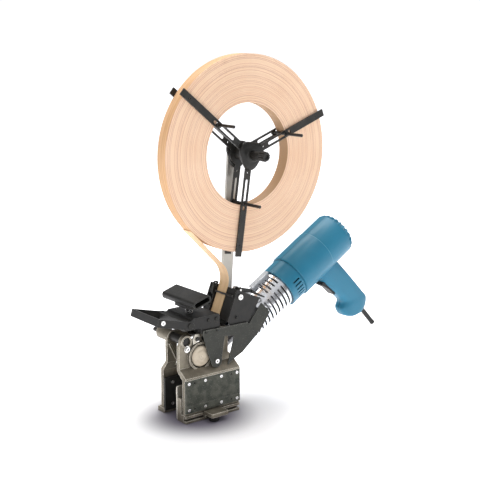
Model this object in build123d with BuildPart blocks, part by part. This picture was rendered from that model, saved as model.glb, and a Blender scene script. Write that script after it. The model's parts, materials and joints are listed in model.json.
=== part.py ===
from build123d import *
import math
import os

os.makedirs("parts", exist_ok=True)

# A hand-held edge banding machine: two fences that ride on a panel, a heat gun that softens
# the glue on the tape, a pressing roller, a palm-operated cutter and a reel of tape on a post.
# X is the feed direction, Y runs from the front fence to the rear fence, Z is up, in mm.
# The origin lies on the underside of the front foot, midway along it.

# ---------------------------------------------------------------- driving dimensions
slip = 0.05  # radial clearance of a running fit
screw_slip = 0.1  # radial clearance of a screw in its hole
gap = 0.3  # clearance between pieces that only pass each other

fence_length = 100.0
tape_width = 22.0
tape_thickness = 0.8
mid_y = 28.0  # plane of the tape, the roller and the gun

pad_face_y = -14.0
pad_thickness = 3.0
pad_bottom = 16.0
pad_height = 51.0
pad_screw_pitch = 29.5
pad_screw_rise = 41.0
pad_hole_span = 68.0
pad_hole_rise = 40.0
pad_hole_radius = 1.5

casting_wall = 6.0
wall_front_y = 3.0  # front of the front casting's upper wall
shelf_top_z = 81.0
foot_height = 12.0
inner_fence_y = 12.0  # fence face that touches the panel
inner_fence_thickness = 2.5
inner_fence_height = 53.0

rear_pad_y = 42.0
rear_pad_thickness = 3.5
rear_pad_bottom = 5.0
rear_pad_height = 52.0
rear_leg_y = 50.0
rear_arm_y = 38.0
rear_wall = 5.0
rear_foot_height = 8.0

shaft_x = -37.0
shaft_z = 121.5
shaft_radius = 7.0
shaft_boss_radius = 9.6
rear_boss_end_y = 70.0
pin_x = -6.0
pin_z = 123.0
pin_radius = 4.0

roller_x = -13.0
roller_z = 96.0
roller_radius = 15.7
ring_radius = 21.5
recess_radius = 18.5
axle_radius = 5.0

plate_thickness = 2.0
plate_half_gap = 34.0  # from the mid plane to the inner face of each side plate
front_plate_y = mid_y - plate_half_gap
rear_plate_y = mid_y + plate_half_gap

block_left = -46.0
block_right = 18.0
block_bottom = 131.5
block_top = 158.0
lug_root = -16.0  # left of here the block is only a lug that carries the bail
lug_bottom = 141.0
lug_top = 155.5
plunger_x = -14.0
plunger_radius = 4.0
plunger_travel = 8.0

bail_x = -38.0
bail_z = 149.0
bail_reach = 50.0

reel_x = 90.5
reel_z = 389.8
roll_radius = 150.0
roll_bore_radius = 77.9
spider_angles = (21.0, 141.0, 262.0)
spider_length = 157.0
spider_width = 11.0
spider_thickness = 2.5
tape_pin_radius = 2.4
tape_pin_length = 70.0
hub_radius = 24.0
hub_bore_radius = 5.0

post_width = 20.0
post_thickness = 4.0
post_y = 51.0
post_foot = (72.0, 150.0)
post_head = (88.0, 402.0)

gun_angle = 32.0
gun_nose = (159.0, mid_y, 168.0)  # centre of the collar's front rim
collar_radius = 35.0
collar_length = 29.0
body_radius = 37.5
body_end = 142.0
shell_wall = 2.5
shield_radius = 31.5
slot_pitch = 7.9
slot_width = 3.0
tube_rows = 7  # rows of slots in the full tube
trough_rows = 5  # rows in the open trough in front of it
shield_wall = 1.2
tube_radius = 17.0
nozzle_reach = 138.0

axis_dir = Vector(math.cos(math.radians(gun_angle)), 0, math.sin(math.radians(gun_angle)))
gun_front = Plane(origin=gun_nose, x_dir=(0, 1, 0), z_dir=tuple(axis_dir))


def xz_at(y):
    """The vertical plane at this Y; a negative extrude goes towards the rear."""
    return Plane.XZ.offset(-y)


def on_gun(s):
    """The plane square to the gun's axis, s mm behind the collar's front rim."""
    return gun_front.offset(s)


def finish(part, name):
    part.label = name
    export_step(part, f"parts/{name}.step")


# ---------------------------------------------------------------- shared fixing spots
shaft_screw_spot = (-36.0, 110.0)
washer_radius = 5.2
lobe_spot = (10.7, 85.5)  # low lobe of the front side plate, screwed to the front casting
lobe_radius = 10.0
tie_spot = (62.0, 119.0)
low_plate_spots = ((-8.0, 133.5), (12.0, 133.5))
block_face_spots = ((-2.0, 151.0), (12.0, 151.0))
link_spot = (-19.0, 123.0)
cheek_screw_spots = ((56.5, 177.0), (50.0, 146.0))
post_screw_spots = ((74.0, 158.0), (75.0, 172.0))

# ---------------------------------------------------------------- front fence and foot
wall_back_y = wall_front_y + casting_wall
pad_back_y = pad_face_y + pad_thickness
pad_top = pad_bottom + pad_height
pad_mid_z = pad_bottom + pad_height / 2
half = fence_length / 2

with BuildPart() as front_casting:
    with BuildSketch(Plane.YZ.offset(-half)):
        with BuildLine():
            Polyline(
                (pad_back_y, foot_height),
                (pad_back_y, pad_top),
                (pad_face_y, pad_top),
                (pad_face_y, pad_top + 3),
                (wall_front_y, shelf_top_z),
                (wall_front_y, shelf_top_z + 4),
                (wall_back_y, shelf_top_z + 4),
                (wall_back_y, shelf_top_z - 3),
                (pad_back_y + casting_wall, pad_top - 1),
                (pad_back_y + casting_wall, foot_height),
                close=True,
            )
        make_face()
    extrude(amount=fence_length)
    with BuildSketch(xz_at(wall_front_y)):
        with BuildLine():
            Polyline(
                (-half, shelf_top_z),
                (-half, shaft_z - 6),
                (shaft_x - shaft_boss_radius, shaft_z),
                (shaft_x + shaft_boss_radius, shaft_z),
                (-28, 117),
                (-14, 117),
                (-14, block_bottom),
                (40, block_bottom),
                (40, 92),
                (half, 84),
                (half, shelf_top_z),
                close=True,
            )
        make_face()
        with Locations((shaft_x, shaft_z)):
            Circle(shaft_boss_radius)
    extrude(amount=-casting_wall)
    with BuildSketch(xz_at(wall_front_y - 2)):
        with Locations((shaft_x, shaft_z)):
            Circle(shaft_boss_radius)
    extrude(amount=-2)
    with BuildSketch(xz_at(wall_front_y - 2)):
        with Locations(shaft_screw_spot):
            Circle(washer_radius + gap)
    extrude(amount=-2, mode=Mode.SUBTRACT)
    with BuildSketch(xz_at(wall_front_y - 4)):
        with Locations((roller_x, roller_z)):
            Circle(ring_radius)
    extrude(amount=-4 - casting_wall / 2)
    with BuildSketch(xz_at(wall_front_y - 4)):
        with Locations((roller_x, roller_z)):
            Circle(recess_radius)
    extrude(amount=-6, mode=Mode.SUBTRACT)
    with BuildSketch(xz_at(wall_front_y - 4)):
        with Locations((roller_x, roller_z)):
            Circle(axle_radius)
        with Locations((shaft_x, shaft_z)):
            Circle(shaft_radius)
        with Locations((pin_x, pin_z)):
            Circle(pin_radius)
        with Locations(shaft_screw_spot, lobe_spot):
            Circle(2 + screw_slip)
    extrude(amount=-20, mode=Mode.SUBTRACT)
    with BuildSketch(xz_at(pad_face_y)):
        with Locations((0, pad_mid_z)):
            with GridLocations(pad_screw_pitch, pad_screw_rise, 4, 2):
                Circle(1.6)
    extrude(amount=-pad_thickness - casting_wall, mode=Mode.SUBTRACT)
finish(front_casting.part, "front_casting")

with BuildPart() as outer_pad:
    with BuildSketch(xz_at(pad_face_y)):
        with Locations((0, pad_mid_z)):
            Rectangle(fence_length, pad_height)
            with GridLocations(pad_screw_pitch, pad_screw_rise, 4, 2):
                Circle(1.6, mode=Mode.SUBTRACT)
            with GridLocations(pad_hole_span, pad_hole_rise, 2, 2):
                Circle(pad_hole_radius, mode=Mode.SUBTRACT)
    extrude(amount=-pad_thickness)
    with BuildSketch(Plane.YZ.offset(-half)):
        with Locations((pad_face_y, pad_bottom + 11)):
            Rectangle(0.8, 0.9)
    extrude(amount=fence_length, mode=Mode.SUBTRACT)
finish(outer_pad.part, "outer_pad")

with BuildPart() as pad_screws:
    with BuildSketch(xz_at(pad_face_y - 0.8)):
        with Locations((0, pad_mid_z)):
            with GridLocations(pad_screw_pitch, pad_screw_rise, 4, 2):
                Circle(2.6)
    extrude(amount=-0.8)
    fillet(pad_screws.edges().filter_by(GeomType.CIRCLE).group_by(Axis.Y)[0], 0.5)
    with BuildSketch(xz_at(pad_face_y)):
        with Locations((0, pad_mid_z)):
            with GridLocations(pad_screw_pitch, pad_screw_rise, 4, 2):
                Circle(1.5)
    extrude(amount=-pad_thickness - 5)
    with BuildSketch(xz_at(pad_face_y - 0.8)):
        with Locations((0, pad_mid_z)):
            with GridLocations(pad_screw_pitch, pad_screw_rise, 4, 2):
                RegularPolygon(1.2, 6)
    extrude(amount=-0.6, mode=Mode.SUBTRACT)
finish(pad_screws.part, "pad_screws")

with BuildPart() as front_foot:
    with BuildSketch(Plane.YZ.offset(-half)):
        with BuildLine():
            Polyline(
                (-13, 0),
                (inner_fence_y - inner_fence_thickness, 0),
                (inner_fence_y - inner_fence_thickness, foot_height),
                (-13, foot_height),
                (-13, 8),
                (-9, 8),
                (-9, 9.5),
                (-7, 9.5),
                (-7, 2.5),
                (-9, 2.5),
                (-9, 4),
                (-13, 4),
                close=True,
            )
        make_face()
    extrude(amount=fence_length)
    with BuildSketch(Plane.YZ.offset(-half)):
        with Locations((4.5, foot_height)):
            Rectangle(10, 24, align=(Align.CENTER, Align.MIN))
    extrude(amount=4)
    with BuildSketch(Plane.YZ.offset(half - 4)):
        with Locations((4.5, foot_height)):
            Rectangle(10, 24, align=(Align.CENTER, Align.MIN))
    extrude(amount=4)
finish(front_foot.part, "front_foot")

with BuildPart() as inner_fence:
    with BuildSketch(xz_at(inner_fence_y - inner_fence_thickness)):
        with Locations((0, 0.5)):
            Rectangle(
                fence_length,
                inner_fence_height - 0.5,
                align=(Align.CENTER, Align.MIN),
            )
    extrude(amount=-inner_fence_thickness)
    fillet(inner_fence.edges().filter_by(Axis.Y), 2)
finish(inner_fence.part, "inner_fence")

stop_left = -17.0
stop_width = 31.0
stop_front_y = -34.0
stop_knob_x = -7.0
stop_knob_y = -25.0
with BuildPart() as stop_block:
    with BuildSketch(Plane.YZ.offset(stop_left)):
        with BuildLine():
            Polyline(
                (stop_front_y, 8),
                (-16.6, 8),
                (-16.6, 4 + gap),
                (-8.6, 4 + gap),
                (-8.6, 8 - gap),
                (-13 - gap, 8 - gap),
                (-13 - gap, 14),
                (stop_front_y, 14),
                close=True,
            )
        make_face()
    extrude(amount=stop_width)
    fillet(stop_block.edges().filter_by(Axis.Z).group_by(Axis.Y)[0], 2)
    with BuildSketch(Plane.XY.offset(8)):
        with Locations((stop_knob_x, stop_knob_y)):
            Circle(2.5 + slip)
    extrude(amount=4, mode=Mode.SUBTRACT)
finish(stop_block.part, "stop_block")

with BuildPart() as stop_knob:
    with BuildSketch(Plane.XY.offset(0.6)):
        with Locations((stop_knob_x, stop_knob_y)):
            Circle(8)
            with PolarLocations(8.6, 12):
                Circle(1.4, mode=Mode.SUBTRACT)
    extrude(amount=7)
    with BuildSketch(Plane.XY.offset(7.6)):
        with Locations((stop_knob_x, stop_knob_y)):
            Circle(2.5)
    extrude(amount=4)
finish(stop_knob.part, "stop_knob")

# ---------------------------------------------------------------- guide shaft and pin
with BuildPart() as guide_shafts:
    with BuildSketch(xz_at(wall_front_y + 1.5)):
        with Locations((shaft_x, shaft_z)):
            Circle(shaft_radius - slip)
    extrude(amount=-61)
    with BuildSketch(xz_at(wall_front_y + 62.5)):
        with Locations((shaft_x, shaft_z)):
            Circle(3.5)
    extrude(amount=-23)
    with BuildSketch(xz_at(wall_front_y + 1)):
        with Locations((pin_x, pin_z)):
            Circle(pin_radius - slip)
    extrude(amount=-56)
finish(guide_shafts.part, "guide_shafts")

# ---------------------------------------------------------------- rear fence
rear_leg_back = rear_leg_y + rear_wall + 1
rear_arm_back = rear_arm_y + rear_wall
arm_top = 130.5
arm_right = -30.0
with BuildPart() as rear_casting:
    with BuildSketch(Plane.YZ.offset(-48)):
        with BuildLine():
            Polyline(
                (rear_leg_y, rear_foot_height),
                (rear_leg_back, rear_foot_height),
                (rear_leg_back, 69),
                (rear_arm_back, 84),
                (rear_arm_back, arm_top),
                (rear_arm_y, arm_top),
                (rear_arm_y, 82),
                (rear_leg_y, 67),
                close=True,
            )
        make_face()
    extrude(amount=96)
    with BuildSketch(xz_at(rear_arm_y - 1)):
        with Locations((arm_right, 74)):
            Rectangle(90, 114.5 - 74, align=Align.MIN)
        with Locations((4, 74)):
            Rectangle(60, 80, align=Align.MIN)
        with Locations((-50, shaft_z)):
            Rectangle(13, 20, align=Align.MIN)
    extrude(amount=-30, mode=Mode.SUBTRACT)
    with BuildSketch(xz_at(rear_arm_y)):
        with Locations((shaft_x, shaft_z)):
            Circle(shaft_boss_radius)
    extrude(amount=-(rear_boss_end_y - rear_arm_y))
    with BuildSketch(xz_at(rear_arm_y)):
        with Locations((shaft_x, shaft_z)):
            Circle(shaft_radius)
        with Locations((pin_x, pin_z)):
            Circle(pin_radius)
    extrude(amount=-40, mode=Mode.SUBTRACT)
    with BuildSketch(xz_at(rear_pad_y + rear_pad_thickness)):
        with Locations((0, 31)):
            with GridLocations(72, 34, 2, 2):
                Circle(4)
    extrude(amount=-(rear_leg_y - rear_pad_y - rear_pad_thickness))
    with BuildSketch(xz_at(rear_pad_y)):
        with Locations((0, 31)):
            with GridLocations(72, 34, 2, 2):
                Circle(1.6)
    extrude(amount=-12, mode=Mode.SUBTRACT)
    with BuildSketch(xz_at(rear_arm_y + 1)):
        with BuildLine():
            Polyline((-46, 112), (-42, 112), (-31, 90), (-31, 84), (-33, 84), close=True)
        make_face()
    extrude(amount=3)
finish(rear_casting.part, "rear_casting")

with BuildPart() as rear_foot:
    with BuildSketch(Plane.YZ.offset(-half)):
        with Locations((rear_pad_y + rear_pad_thickness, 0)):
            Rectangle(17.5, rear_foot_height, align=Align.MIN)
    extrude(amount=fence_length)
    chamfer(rear_foot.edges().filter_by(Axis.X).group_by(Axis.Y)[-1].group_by(Axis.Z)[-1], 2)
finish(rear_foot.part, "rear_foot")

with BuildPart() as rear_pad:
    with BuildSketch(xz_at(rear_pad_y)):
        with Locations((-half, rear_pad_bottom)):
            Rectangle(fence_length, rear_pad_height, align=Align.MIN)
        with Locations((0, 31)):
            with GridLocations(72, 34, 2, 2):
                Circle(1.6, mode=Mode.SUBTRACT)
    extrude(amount=-rear_pad_thickness)
    with BuildSketch(xz_at(rear_pad_y)):
        with Locations((0, 31)):
            with GridLocations(72, 34, 2, 2):
                Circle(3)
    extrude(amount=-1.5, mode=Mode.SUBTRACT)
finish(rear_pad.part, "rear_pad")

with BuildPart() as rear_pad_screws:
    with BuildSketch(xz_at(rear_pad_y + 0.2)):
        with Locations((0, 31)):
            with GridLocations(72, 34, 2, 2):
                Circle(2.8)
    extrude(amount=-1.3)
    with BuildSketch(xz_at(rear_pad_y + 1.5)):
        with Locations((0, 31)):
            with GridLocations(72, 34, 2, 2):
                Circle(1.5)
    extrude(amount=-9)
    with BuildSketch(xz_at(rear_pad_y + 0.2)):
        with Locations((0, 31)):
            with GridLocations(72, 34, 2, 2):
                RegularPolygon(1.2, 6)
    extrude(amount=-0.8, mode=Mode.SUBTRACT)
finish(rear_pad_screws.part, "rear_pad_screws")

# ---------------------------------------------------------------- pressing roller
with BuildPart() as pressing_roller:
    with BuildSketch(xz_at(wall_back_y + 0.5)):
        with Locations((roller_x, roller_z)):
            Circle(roller_radius)
            Circle(axle_radius, mode=Mode.SUBTRACT)
    extrude(amount=-27.5)
    rims = pressing_roller.edges().filter_by(GeomType.CIRCLE).filter_by(lambda e: e.radius > 10)
    chamfer(rims, 0.6)
finish(pressing_roller.part, "pressing_roller")

with BuildPart() as roller_axle:
    with BuildSketch(xz_at(wall_front_y + 2)):
        with Locations((roller_x, roller_z)):
            Circle(axle_radius - slip)
    extrude(amount=-(wall_back_y + 28.3 - wall_front_y - 2))
    with BuildSketch(xz_at(wall_back_y + 28.3)):
        with Locations((roller_x, roller_z)):
            Circle(7)
    extrude(amount=-1.2)
finish(roller_axle.part, "roller_axle")

with BuildPart() as roller_cap:
    with BuildSketch(xz_at(wall_front_y - 7)):
        with Locations((roller_x, roller_z)):
            Circle(16)
    extrude(amount=-9)
    fillet(roller_cap.edges().filter_by(GeomType.CIRCLE).group_by(Axis.Y)[0], 2.5)
    with BuildSketch(xz_at(wall_front_y - 7)):
        with Locations((roller_x, roller_z)):
            Circle(6)
    extrude(amount=-2, mode=Mode.SUBTRACT)
finish(roller_cap.part, "roller_cap")

# ---------------------------------------------------------------- side plates and block
def plate_arm():
    """The inclined arm of a side plate, which carries the heat gun."""
    Polyline(
        (69, 136),
        (72, 132),
        (97, 161.5),
        (113.5, 144.5),
        (95, 118.5),
        (60, 90),
        (46.5, 84),
        (32, 76),
        (45, 120),
        (45, 136),
        close=True,
    )


with BuildPart() as side_plate_front:
    with BuildSketch(xz_at(front_plate_y - plate_thickness)):
        with BuildLine():
            Polyline(
                (-14, 130),
                (-13, 137),
                (69, 136),
                (60, 118),
                (26, 121.5),
                (20.3, 88),
                (10.7, 75.5),
                (1, 84),
                (-5, 100),
                close=True,
            )
        make_face()
        with Locations(lobe_spot):
            Circle(lobe_radius)
        with BuildLine():
            plate_arm()
        make_face()
        with Locations(lobe_spot):
            Circle(2 + screw_slip, mode=Mode.SUBTRACT)
        with Locations(*low_plate_spots):
            Circle(1.6, mode=Mode.SUBTRACT)
    extrude(amount=-plate_thickness)
    with BuildSketch(xz_at(front_plate_y - plate_thickness - 1.2)):
        with BuildLine():
            Polyline((-13, 137), (69, 136), (69, 134.9), (-13, 135.9), close=True)
        make_face()
    extrude(amount=-1.2)
finish(side_plate_front.part, "side_plate_front")

with BuildPart() as side_plate_rear:
    with BuildSketch(xz_at(rear_plate_y)):
        with BuildLine():
            Polyline((-14, block_bottom), (-13, 137), (69, 136), (60, 118), (26, 121.5), close=True)
        make_face()
        with BuildLine():
            plate_arm()
        make_face()
        with Locations(*low_plate_spots):
            Circle(1.6, mode=Mode.SUBTRACT)
        with Locations((30, 70)):
            Rectangle(18, 22, align=Align.MIN, mode=Mode.SUBTRACT)
    extrude(amount=-plate_thickness)
finish(side_plate_rear.part, "side_plate_rear")

plate_span = 2 * plate_half_gap
with BuildPart() as cutter_block:
    with BuildSketch(xz_at(front_plate_y)):
        with BuildLine():
            Polyline(
                (block_left, lug_bottom),
                (lug_root, lug_bottom),
                (lug_root, block_bottom),
                (block_right, block_bottom),
                (block_right, block_top - 2),
                (block_right - 2, block_top),
                (block_left + 16, block_top),
                (block_left + 14.5, lug_top),
                (block_left, lug_top),
                close=True,
            )
        make_face()
    extrude(amount=-plate_span)
    with BuildSketch(xz_at(14)):
        with Locations((-24, block_bottom)):
            Rectangle(block_right + 24, 18, align=Align.MIN)
    extrude(amount=-28, mode=Mode.SUBTRACT)
    with BuildSketch(Plane.XY.offset(block_bottom + 18)):
        with Locations((plunger_x, mid_y)):
            Circle(plunger_radius)
    extrude(amount=12, mode=Mode.SUBTRACT)
    with BuildSketch(Plane.XY.offset(block_top - 5)):
        with Locations((plunger_x, mid_y)):
            Circle(6.6)
    extrude(amount=6, mode=Mode.SUBTRACT)
    with BuildSketch(xz_at(front_plate_y)):
        with Locations((bail_x, bail_z)):
            Circle(3)
        with Locations(*low_plate_spots, *block_face_spots):
            Circle(1.6)
    extrude(amount=-6, mode=Mode.SUBTRACT)
    with BuildSketch(xz_at(rear_plate_y - 6)):
        with Locations((bail_x, bail_z)):
            Circle(3)
        with Locations(*low_plate_spots):
            Circle(1.6)
    extrude(amount=-7, mode=Mode.SUBTRACT)
finish(cutter_block.part, "cutter_block")

with BuildPart() as link_plate:
    with BuildSketch(xz_at(wall_front_y - 3)):
        with BuildLine():
            Polyline((-26, 116), (-15, 118.5), (-15, 131), (-22, 131), (-27, 124), close=True)
        make_face()
        with Locations(link_spot):
            Circle(1.6, mode=Mode.SUBTRACT)
    extrude(amount=-3)
finish(link_plate.part, "link_plate")

# ---------------------------------------------------------------- palm grip and cutter
grip_angle = 18.0
grip_width = 32.0
grip_height = 12.0
grip_length = 84.0
grip_centre = (-19.0, 182.5)
grip_slope = (math.cos(math.radians(grip_angle)), 0, math.sin(math.radians(grip_angle)))
grip_plane = Plane(
    origin=(grip_centre[0], mid_y - grip_length / 2, grip_centre[1]),
    x_dir=grip_slope,
    z_dir=(0, 1, 0),
)


def grip_underside(x):
    """Height of the grip's flat underside at this X."""
    drop = grip_height / 2 / math.cos(math.radians(grip_angle))
    return grip_centre[1] - drop + (x - grip_centre[0]) * math.tan(math.radians(grip_angle))


with BuildPart() as palm_grip:
    with BuildSketch(grip_plane):
        RectangleRounded(grip_width, grip_height, 5)
    extrude(amount=grip_length)
    with BuildSketch(grip_plane):
        RectangleRounded(grip_width - 5, grip_height - 5, 2.5)
    extrude(amount=grip_length - 10, mode=Mode.SUBTRACT)
finish(palm_grip.part, "palm_grip")

pedestal_left = -29.0
pedestal_right = 2.0
with BuildPart() as pedestal:
    with BuildSketch(xz_at(12)):
        with BuildLine():
            Polyline(
                (pedestal_left, block_top + plunger_travel + 2),
                (pedestal_right, block_top + plunger_travel + 2),
                (-9, grip_underside(-9)),
                (pedestal_left, grip_underside(pedestal_left)),
                close=True,
            )
        make_face()
    extrude(amount=-32)
    with BuildSketch(Plane.XY.offset(block_bottom + 9.5)):
        with Locations((plunger_x, mid_y)):
            Circle(plunger_radius - slip)
    extrude(amount=block_top + plunger_travel + 2 - block_bottom - 9.5)
    with BuildSketch(xz_at(16)):
        with Locations((-20, block_top + 0.4)):
            Rectangle(3, plunger_travel + 1.6, align=Align.MIN)
        with Locations((-5, block_top + 0.4)):
            Rectangle(3, plunger_travel + 1.6, align=Align.MIN)
finish(pedestal.part, "pedestal")

with BuildPart() as return_spring:
    with BuildSketch(Plane.XY.offset(block_top - 5)):
        with Locations((plunger_x, mid_y)):
            Circle(6)
            Circle(4.6, mode=Mode.SUBTRACT)
    extrude(amount=5 + plunger_travel + 2)
    for i in range(6):
        with BuildSketch(Plane.XY.offset(block_top - 4 + 2.4 * i)):
            with Locations((plunger_x, mid_y)):
                Circle(6.5)
                Circle(5.4, mode=Mode.SUBTRACT)
        extrude(amount=0.9, mode=Mode.SUBTRACT)
finish(return_spring.part, "return_spring")

blade_x = 14.0
blade_thickness = 1.5
carrier_bottom = block_bottom + 9.5
with BuildPart() as blade_carrier:
    with BuildSketch(Plane.XY.offset(carrier_bottom)):
        with Locations(((plunger_x - 7 + blade_x) / 2, mid_y)):
            Rectangle(blade_x - plunger_x + 7, 14)
        with Locations((plunger_x, mid_y)):
            Circle(plunger_radius, mode=Mode.SUBTRACT)
    extrude(amount=6)
    with BuildSketch(Plane.XY.offset(carrier_bottom)):
        with Locations((blade_x - 2, mid_y)):
            Rectangle(4, 26)
    extrude(amount=6)
finish(blade_carrier.part, "blade_carrier")

with BuildPart() as cutter_blade:
    with BuildSketch(xz_at(mid_y - 13)):
        with BuildLine():
            Polyline(
                (blade_x, carrier_bottom + 6),
                (blade_x + blade_thickness, carrier_bottom + 6),
                (blade_x + blade_thickness, carrier_bottom - 8),
                (blade_x + 0.2, carrier_bottom - 9),
                (blade_x, carrier_bottom - 8),
                close=True,
            )
        make_face()
    extrude(amount=-26)
finish(cutter_blade.part, "cutter_blade")

# ---------------------------------------------------------------- bail lever at the tail
arm_thickness = 3.5
bail_front_y = front_plate_y - arm_thickness - gap
bail_rear_y = rear_plate_y + gap
bail_tip_x = bail_x - bail_reach
bail_tip_z = bail_z + 13.0


bail_arm_corners = (
    (bail_x, bail_z - 6.5),
    (bail_x, bail_z + 6.5),
    (bail_x - 12, bail_z + 9),
    (bail_tip_x - 3, bail_tip_z + 6),
    (bail_tip_x - 6, bail_tip_z - 5),
    (bail_x - 12, bail_z - 3.5),
)
with BuildPart() as bail_arms:
    for y0 in (bail_front_y, bail_rear_y):
        with BuildSketch(xz_at(y0)):
            with BuildLine():
                Polyline(*bail_arm_corners, close=True)
            make_face()
            with Locations((bail_x, bail_z)):
                Circle(7)
                Circle(3 + screw_slip, mode=Mode.SUBTRACT)
            with Locations((bail_tip_x + 2, bail_tip_z)):
                Circle(1.6, mode=Mode.SUBTRACT)
        extrude(amount=-arm_thickness)
finish(bail_arms.part, "bail_arms")

bail_inner_y = bail_front_y + arm_thickness
bail_span = bail_rear_y - bail_inner_y
with BuildPart() as bail_bar:
    with BuildSketch(xz_at(bail_inner_y)):
        with BuildLine():
            Polyline(
                (bail_tip_x - 3, bail_tip_z + 6),
                (bail_tip_x - 6, bail_tip_z - 5),
                (bail_tip_x + 20, bail_tip_z - 10),
                (bail_tip_x + 20.5, bail_tip_z - 8),
                (bail_tip_x - 3.2, bail_tip_z - 3.4),
                (bail_tip_x - 0.8, bail_tip_z + 5.4),
                close=True,
            )
        make_face()
    extrude(amount=-bail_span)
    for y0 in (bail_inner_y, bail_rear_y - 5):
        with BuildSketch(xz_at(y0)):
            with Locations((bail_tip_x + 2, bail_tip_z)):
                Circle(3.4)
                Circle(1.5, mode=Mode.SUBTRACT)
            with Locations((bail_tip_x - 1.2, bail_tip_z)):
                Rectangle(3.4, 5)
        extrude(amount=-5)
finish(bail_bar.part, "bail_bar")

with BuildPart() as bail_fasteners:
    for y0, sign in ((bail_front_y, 1), (bail_rear_y + arm_thickness, -1)):
        with BuildSketch(xz_at(y0)):
            with Locations((bail_x, bail_z)):
                Circle(4.2)
        extrude(amount=sign * 1.2)
        with BuildSketch(xz_at(y0)):
            with Locations((bail_x, bail_z)):
                Circle(3 - slip)
        extrude(amount=-sign * 9)
    for y0, sign in ((bail_front_y, 1), (bail_rear_y + arm_thickness, -1)):
        with BuildSketch(xz_at(y0)):
            with Locations((bail_tip_x + 2, bail_tip_z)):
                Circle(3.6)
        extrude(amount=sign * 2)
        with BuildSketch(xz_at(y0)):
            with Locations((bail_tip_x + 2, bail_tip_z)):
                Circle(1.4)
        extrude(amount=-sign * 7)
        with BuildSketch(xz_at(y0 - sign * 2)):
            with Locations((bail_tip_x + 2, bail_tip_z)):
                RegularPolygon(1.6, 6)
        extrude(amount=-sign * 1.2, mode=Mode.SUBTRACT)
finish(bail_fasteners.part, "bail_fasteners")

# ---------------------------------------------------------------- tape guide and air box
bed_low = (33.0, 143.0)
bed_high = (51.0, 189.0)
bed_thickness = 2.0
bed_front_y = front_plate_y + plate_thickness + gap
bed_rear_y = mid_y + tape_width / 2 + 3
bed_dir = Vector(bed_high[0] - bed_low[0], bed_high[1] - bed_low[1], 0).normalized()
bed_normal = Vector(bed_dir.Y, -bed_dir.X, 0)


def beside_bed(along, off):
    """A point this far up the tape bed and this far to the gun's side of its face."""
    spot = Vector(bed_low[0], bed_low[1], 0) + bed_dir * along + bed_normal * off
    return (spot.X, spot.Y)


bed_length = math.dist(bed_low, bed_high)
cheek_inner_y = front_plate_y + plate_thickness
rod_along = 38.0
rod_radius = 1.6
rod_spot = beside_bed(rod_along, -tape_thickness - 2.4)
with BuildPart() as tape_bed:
    with BuildSketch(xz_at(bed_front_y)):
        with BuildLine():
            Polyline(
                beside_bed(0, 0),
                beside_bed(bed_length, 0),
                beside_bed(bed_length, bed_thickness),
                beside_bed(0, bed_thickness),
                close=True,
            )
        make_face()
    extrude(amount=-(bed_rear_y - bed_front_y))
    with BuildSketch(xz_at(bed_rear_y - 1.5)):
        with BuildLine():
            Polyline(
                beside_bed(0, 0),
                beside_bed(0, -4),
                beside_bed(bed_length, -4),
                beside_bed(bed_length, 0),
                close=True,
            )
        make_face()
        with Locations(rod_spot):
            Circle(rod_radius + screw_slip, mode=Mode.SUBTRACT)
    extrude(amount=-1.5)
    # two tabs that carry the bed on the rear cheek
    for along in (10.0, 38.0):
        with BuildSketch(xz_at(bed_rear_y - 4)):
            with BuildLine():
                Polyline(
                    beside_bed(along - 4, 0.5),
                    beside_bed(along + 4, 0.5),
                    beside_bed(along + 4, bed_thickness + 6),
                    beside_bed(along - 4, bed_thickness + 6),
                    close=True,
                )
            make_face()
        extrude(amount=-(rear_plate_y - plate_thickness - bed_rear_y + 4))
finish(tape_bed.part, "tape_bed")

cheek_corners = (bed_low, bed_high, (95.0, 170.0), (66.0, 122.0), (48.0, 122.0))
with BuildPart() as guide_cheeks:
    for y0, holes in (
        (front_plate_y, cheek_screw_spots),
        (rear_plate_y - plate_thickness, post_screw_spots),
    ):
        with BuildSketch(xz_at(y0)):
            with BuildLine():
                Polyline(*cheek_corners, close=True)
            make_face()
            with Locations(*holes):
                Circle(2 + screw_slip, mode=Mode.SUBTRACT)
            with Locations(tie_spot):
                Circle(3, mode=Mode.SUBTRACT)
        extrude(amount=-plate_thickness)
finish(guide_cheeks.part, "guide_cheeks")

with BuildPart() as guide_rod:
    with BuildSketch(xz_at(cheek_inner_y)):
        with Locations(rod_spot):
            Circle(rod_radius)
    extrude(amount=-(bed_rear_y + 3 - cheek_inner_y))
finish(guide_rod.part, "guide_rod")

with BuildPart() as rod_clip:
    with BuildSketch(xz_at(bed_rear_y)):
        with BuildLine():
            Polyline(
                beside_bed(rod_along - 6, 0),
                beside_bed(rod_along - 6, -6),
                beside_bed(rod_along + 12, -9),
                beside_bed(rod_along + 15, -6),
                beside_bed(rod_along + 15, -1),
                beside_bed(rod_along + 5, 0),
                close=True,
            )
        make_face()
        with Locations(rod_spot):
            Circle(rod_radius + screw_slip, mode=Mode.SUBTRACT)
        with Locations(beside_bed(rod_along + 10, -4.4)):
            Circle(2.6, mode=Mode.SUBTRACT)
    extrude(amount=-3)
finish(rod_clip.part, "rod_clip")

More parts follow.
